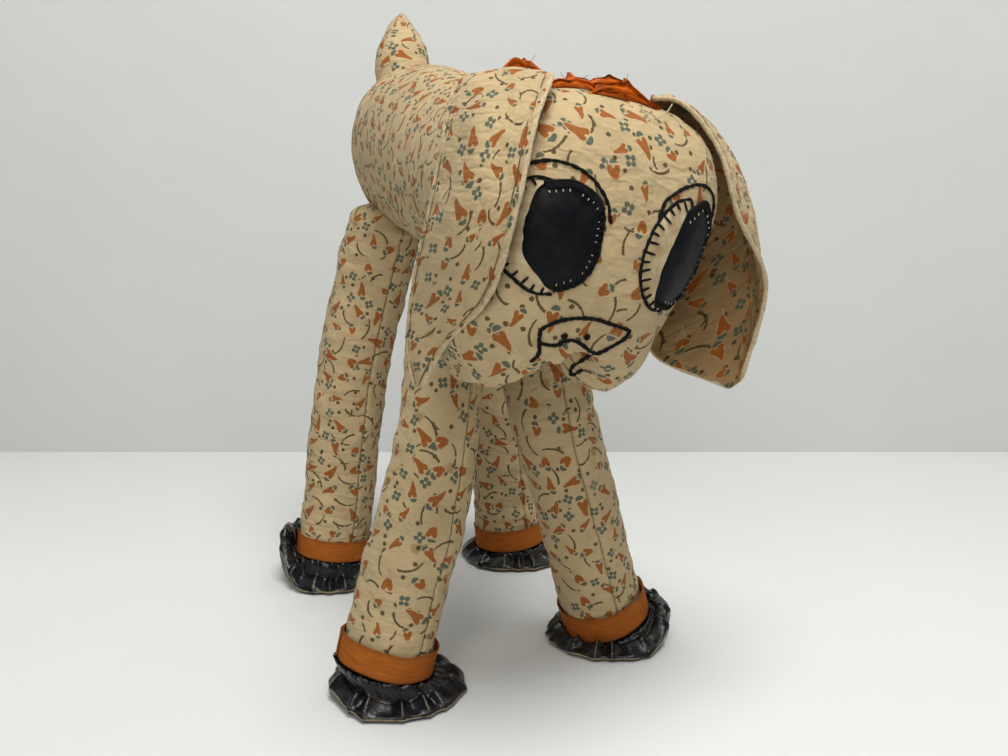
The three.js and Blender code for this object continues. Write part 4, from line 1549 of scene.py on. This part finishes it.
class CLOTHDOG_OT_ribbon(bpy.types.Operator):
    """Crumple the frayed ribbon along the crown"""

    bl_idname = "clothdog.ribbon"
    bl_label = "Ribbon"

    def execute(self, context):
        bm = bmesh.new()
        flat = {}
        for start, end, behind, rise, lean, waves, phase in RIBBON_LEAVES:
            made = bmesh.ops.create_grid(bm, x_segments=72, y_segments=20, size=0.5)
            for vert in made["verts"]:
                s, v = vert.co.x + 0.5, vert.co.y + 0.5
                flat[vert] = (s * (end - start) * RIBBON_RUN, v * RIBBON_RISE)
                angle = math.radians(117 - 54 * (start + (end - start) * s))
                base = HEAD_TURN @ head_point(head_direction(angle, behind))
                wave = math.sin(s * waves * TAU + phase + 1.1 * v)
                wave += 0.3 * math.sin(s * waves * 13 + phase * 2)
                crest = math.sin(math.pi * min(max(s, 0.0), 1.0)) ** 0.5
                height = rise * crest * (0.78 + 0.22 * math.sin(s * 6.5 + phase))
                peak = 2.3 * bump(s, 0.52, 0.05) * v ** 2
                up = height * math.sin(v * math.pi * 0.66) + 0.12 * rise * wave * v + peak
                frayed = 1.1 * abs(math.sin(s * 33 + phase)) ** 3 * smooth(v, 0.85, 1.0)
                roll = 0.85 * math.sin(v * 15 + 4.5 * s + phase) * smooth(v, 0.0, 0.3)
                back = lean * v ** 1.4 + 1.5 * wave * v + 0.5 * ripple(s * 40, v * 9, phase, 5) + roll
                aside = 0.9 * math.sin(v * 4 + phase) * v
                vert.co = base + Vector((aside, back, max(up, 0.0) + 0.5 - frayed))
        map_cloth(bm, flat)
        ribbon = finish_piece(bm, "crumpled_ribbon", "orange_ribbon", ["ribbon"])
        add_thickness(ribbon, "Ribbon", 0.25, -1.0)
        bm = bmesh.new()
        for i in range(22):
            start = from_frame(ribbon.data.vertices[(i * 977 + 311) % len(ribbon.data.vertices)].co)
            reach = 1.5 + 2.4 * abs(math.sin(i * 1.9))
            way = Vector((math.sin(i * 2.3), 0.3 * math.cos(i * 1.1), 0.5 + 0.6 * abs(math.cos(i * 0.9))))
            stitch(bm, start, start + way.normalized() * reach, Vector((0.2, -1, 0.1)), 0.12)
        finish_piece(bm, "ribbon_fray", "ribbon_thread")
        return {"FINISHED"}


# Stage: a pale floor, a pale wall, soft light and the camera

ROOM_TONE = (0.58, 0.585, 0.565, 1.0)
FLOOR_TONE = (0.68, 0.69, 0.68, 1.0)
WALL_TONE = (0.62, 0.63, 0.61, 1.0)
SKY_TONE = (0.86, 0.9, 0.94, 1.0)
# name, place in metres, watts, width, colour
LAMPS = (
    ("Window light", (-0.55, -1.05, 0.85), 5.0, 0.6, (1.0, 0.985, 0.955)),
    ("Room light", (0.95, -0.75, 0.9), 0.7, 1.2, (0.97, 0.98, 1.0)),
    ("Ceiling light", (0.0, -0.42, 1.35), 17.1, 0.7, (1.0, 0.995, 0.98)))
LAMPS_AIM = Vector((0, -0.05, 0.15))
CAMERA_PLACE = Vector((-164.69, -464.17, 238.0))
CAMERA_TURN = Euler((math.radians(90 - 11.3), 0.0, math.radians(-20)))
WALL_STAND = (
    Matrix.Translation((0.1355, 0.3171, 1.5)) @ Matrix.Rotation(math.radians(-20), 4, "Z")
    @ Matrix.Rotation(math.pi / 2, 4, "X"))


def mix_shaders(tree, share, first, second, output):
    """Sends a mix of two shaders to the output node"""
    choice = tree.nodes.new("ShaderNodeMixShader")
    for socket, source in zip(choice.inputs, (share, first, second)):
        tree.links.new(source, socket)
    tree.links.new(choice.outputs[0], tree.nodes[output].inputs["Surface"])


def backdrop(name, colour, stand):
    """A large plain sheet of the stage, with the wires of its finish"""
    bm = bmesh.new()
    bmesh.ops.create_grid(bm, x_segments=2, y_segments=2, size=3.0, matrix=stand)
    w = Wires(name)
    where = w.on_object()
    tone = w.mix(w.cloud(where, 3.0).step(0.3, 0.7), tint(colour, 0.96), colour)
    w.finish(Base_Color=tone, Roughness=0.9, Normal=w.relief(w.cloud(where, 9.0), 0.25, 0.01))
    return link_mesh(bm, name, w.material), w


class CLOTHDOG_OT_stage(bpy.types.Operator):
    """Set the floor, the wall, the soft lights and the camera"""

    bl_idname = "clothdog.stage"
    bl_label = "Stage"

    def execute(self, context):
        # the far floor, which the lamps don't reach, takes the tone of the room
        floor, w = backdrop("stage_floor", FLOOR_TONE, Matrix())
        far = w.length(w.on_object()).step(0.55, 1.1)
        room = w.node("ShaderNodeEmission", Color=ROOM_TONE)
        mix_shaders(w.tree, far.socket, w.shader.outputs[0], room.outputs[0], "Material Output")

        # the wall is see-through from its back, so that it hides nothing in a view from there
        wall, w = backdrop("stage_wall", WALL_TONE, WALL_STAND)
        back = w.node("ShaderNodeNewGeometry").outputs["Backfacing"]
        clear = w.node("ShaderNodeBsdfTransparent")
        mix_shaders(w.tree, back, w.shader.outputs[0], clear.outputs[0], "Material Output")

        self.add_lights(context.scene)
        self.add_camera(context.scene)
        return {"FINISHED"}

    def add_lights(self, scene):
        for name, place, power, size, colour in LAMPS:
            light = bpy.data.lights.new(name, "AREA")
            light.shape = "DISK"
            light.energy = power
            light.size = size
            light.color = colour
            lamp = bpy.data.objects.new(name, light)
            lamp.location = place
            lamp.rotation_euler = (LAMPS_AIM - lamp.location).to_track_quat("-Z", "Y").to_euler()
            scene.collection.objects.link(lamp)
        world = bpy.data.worlds.new("Soft room")
        world.use_nodes = True
        nodes = world.node_tree.nodes
        sky = nodes["Background"]
        sky.inputs["Color"].default_value = SKY_TONE
        sky.inputs["Strength"].default_value = 0.2
        room = nodes.new("ShaderNodeBackground")
        room.inputs["Color"].default_value = ROOM_TONE
        seen = nodes.new("ShaderNodeLightPath").outputs["Is Camera Ray"]
        mix_shaders(world.node_tree, seen, sky.outputs[0], room.outputs[0], "World Output")
        scene.world = world
        scene.view_settings.view_transform = "Standard"

    def add_camera(self, scene):
        camera = bpy.data.cameras.new("Photograph view")
        camera.sensor_width = SENSOR
        camera.lens = LENS
        camera.shift_x = 0.5 - PHOTO_MIDDLE[0] / PHOTO_WIDTH
        view = bpy.data.objects.new("Photograph view", camera)
        view.location = to_frame(CAMERA_PLACE)
        view.rotation_euler = CAMERA_TURN
        scene.collection.objects.link(view)
        scene.camera = view


class CLOTHDOG_PT_panel(bpy.types.Panel):
    """The dog's pieces and settings"""

    bl_idname = "CLOTHDOG_PT_panel"
    bl_label = "Cloth Dog"
    bl_space_type = "VIEW_3D"
    bl_region_type = "UI"
    bl_category = "Cloth Dog"

    def draw(self, context):
        for name in ClothDogSettings.__annotations__:
            self.layout.prop(context.scene.cloth_dog, name)
        for operator in OPERATORS:
            self.layout.operator(operator.bl_idname)


OPERATORS = (
    CLOTHDOG_OT_stage, CLOTHDOG_OT_torso, CLOTHDOG_OT_legs, CLOTHDOG_OT_head, CLOTHDOG_OT_eyes,
    CLOTHDOG_OT_embroidery, CLOTHDOG_OT_ears, CLOTHDOG_OT_ankle_bands, CLOTHDOG_OT_feet, CLOTHDOG_OT_ribbon)


def register():
    for cls in (ClothDogSettings, *OPERATORS, CLOTHDOG_PT_panel):
        bpy.utils.register_class(cls)
    bpy.types.Scene.cloth_dog = bpy.props.PointerProperty(type=ClothDogSettings)


def unregister():
    del bpy.types.Scene.cloth_dog
    for cls in reversed((ClothDogSettings, *OPERATORS, CLOTHDOG_PT_panel)):
        bpy.utils.unregister_class(cls)


def main():
    register()
    for operator in OPERATORS:
        name = operator.bl_idname.split(".")[1]
        getattr(bpy.ops.clothdog, name)()


if __name__ == "__main__":
    main()
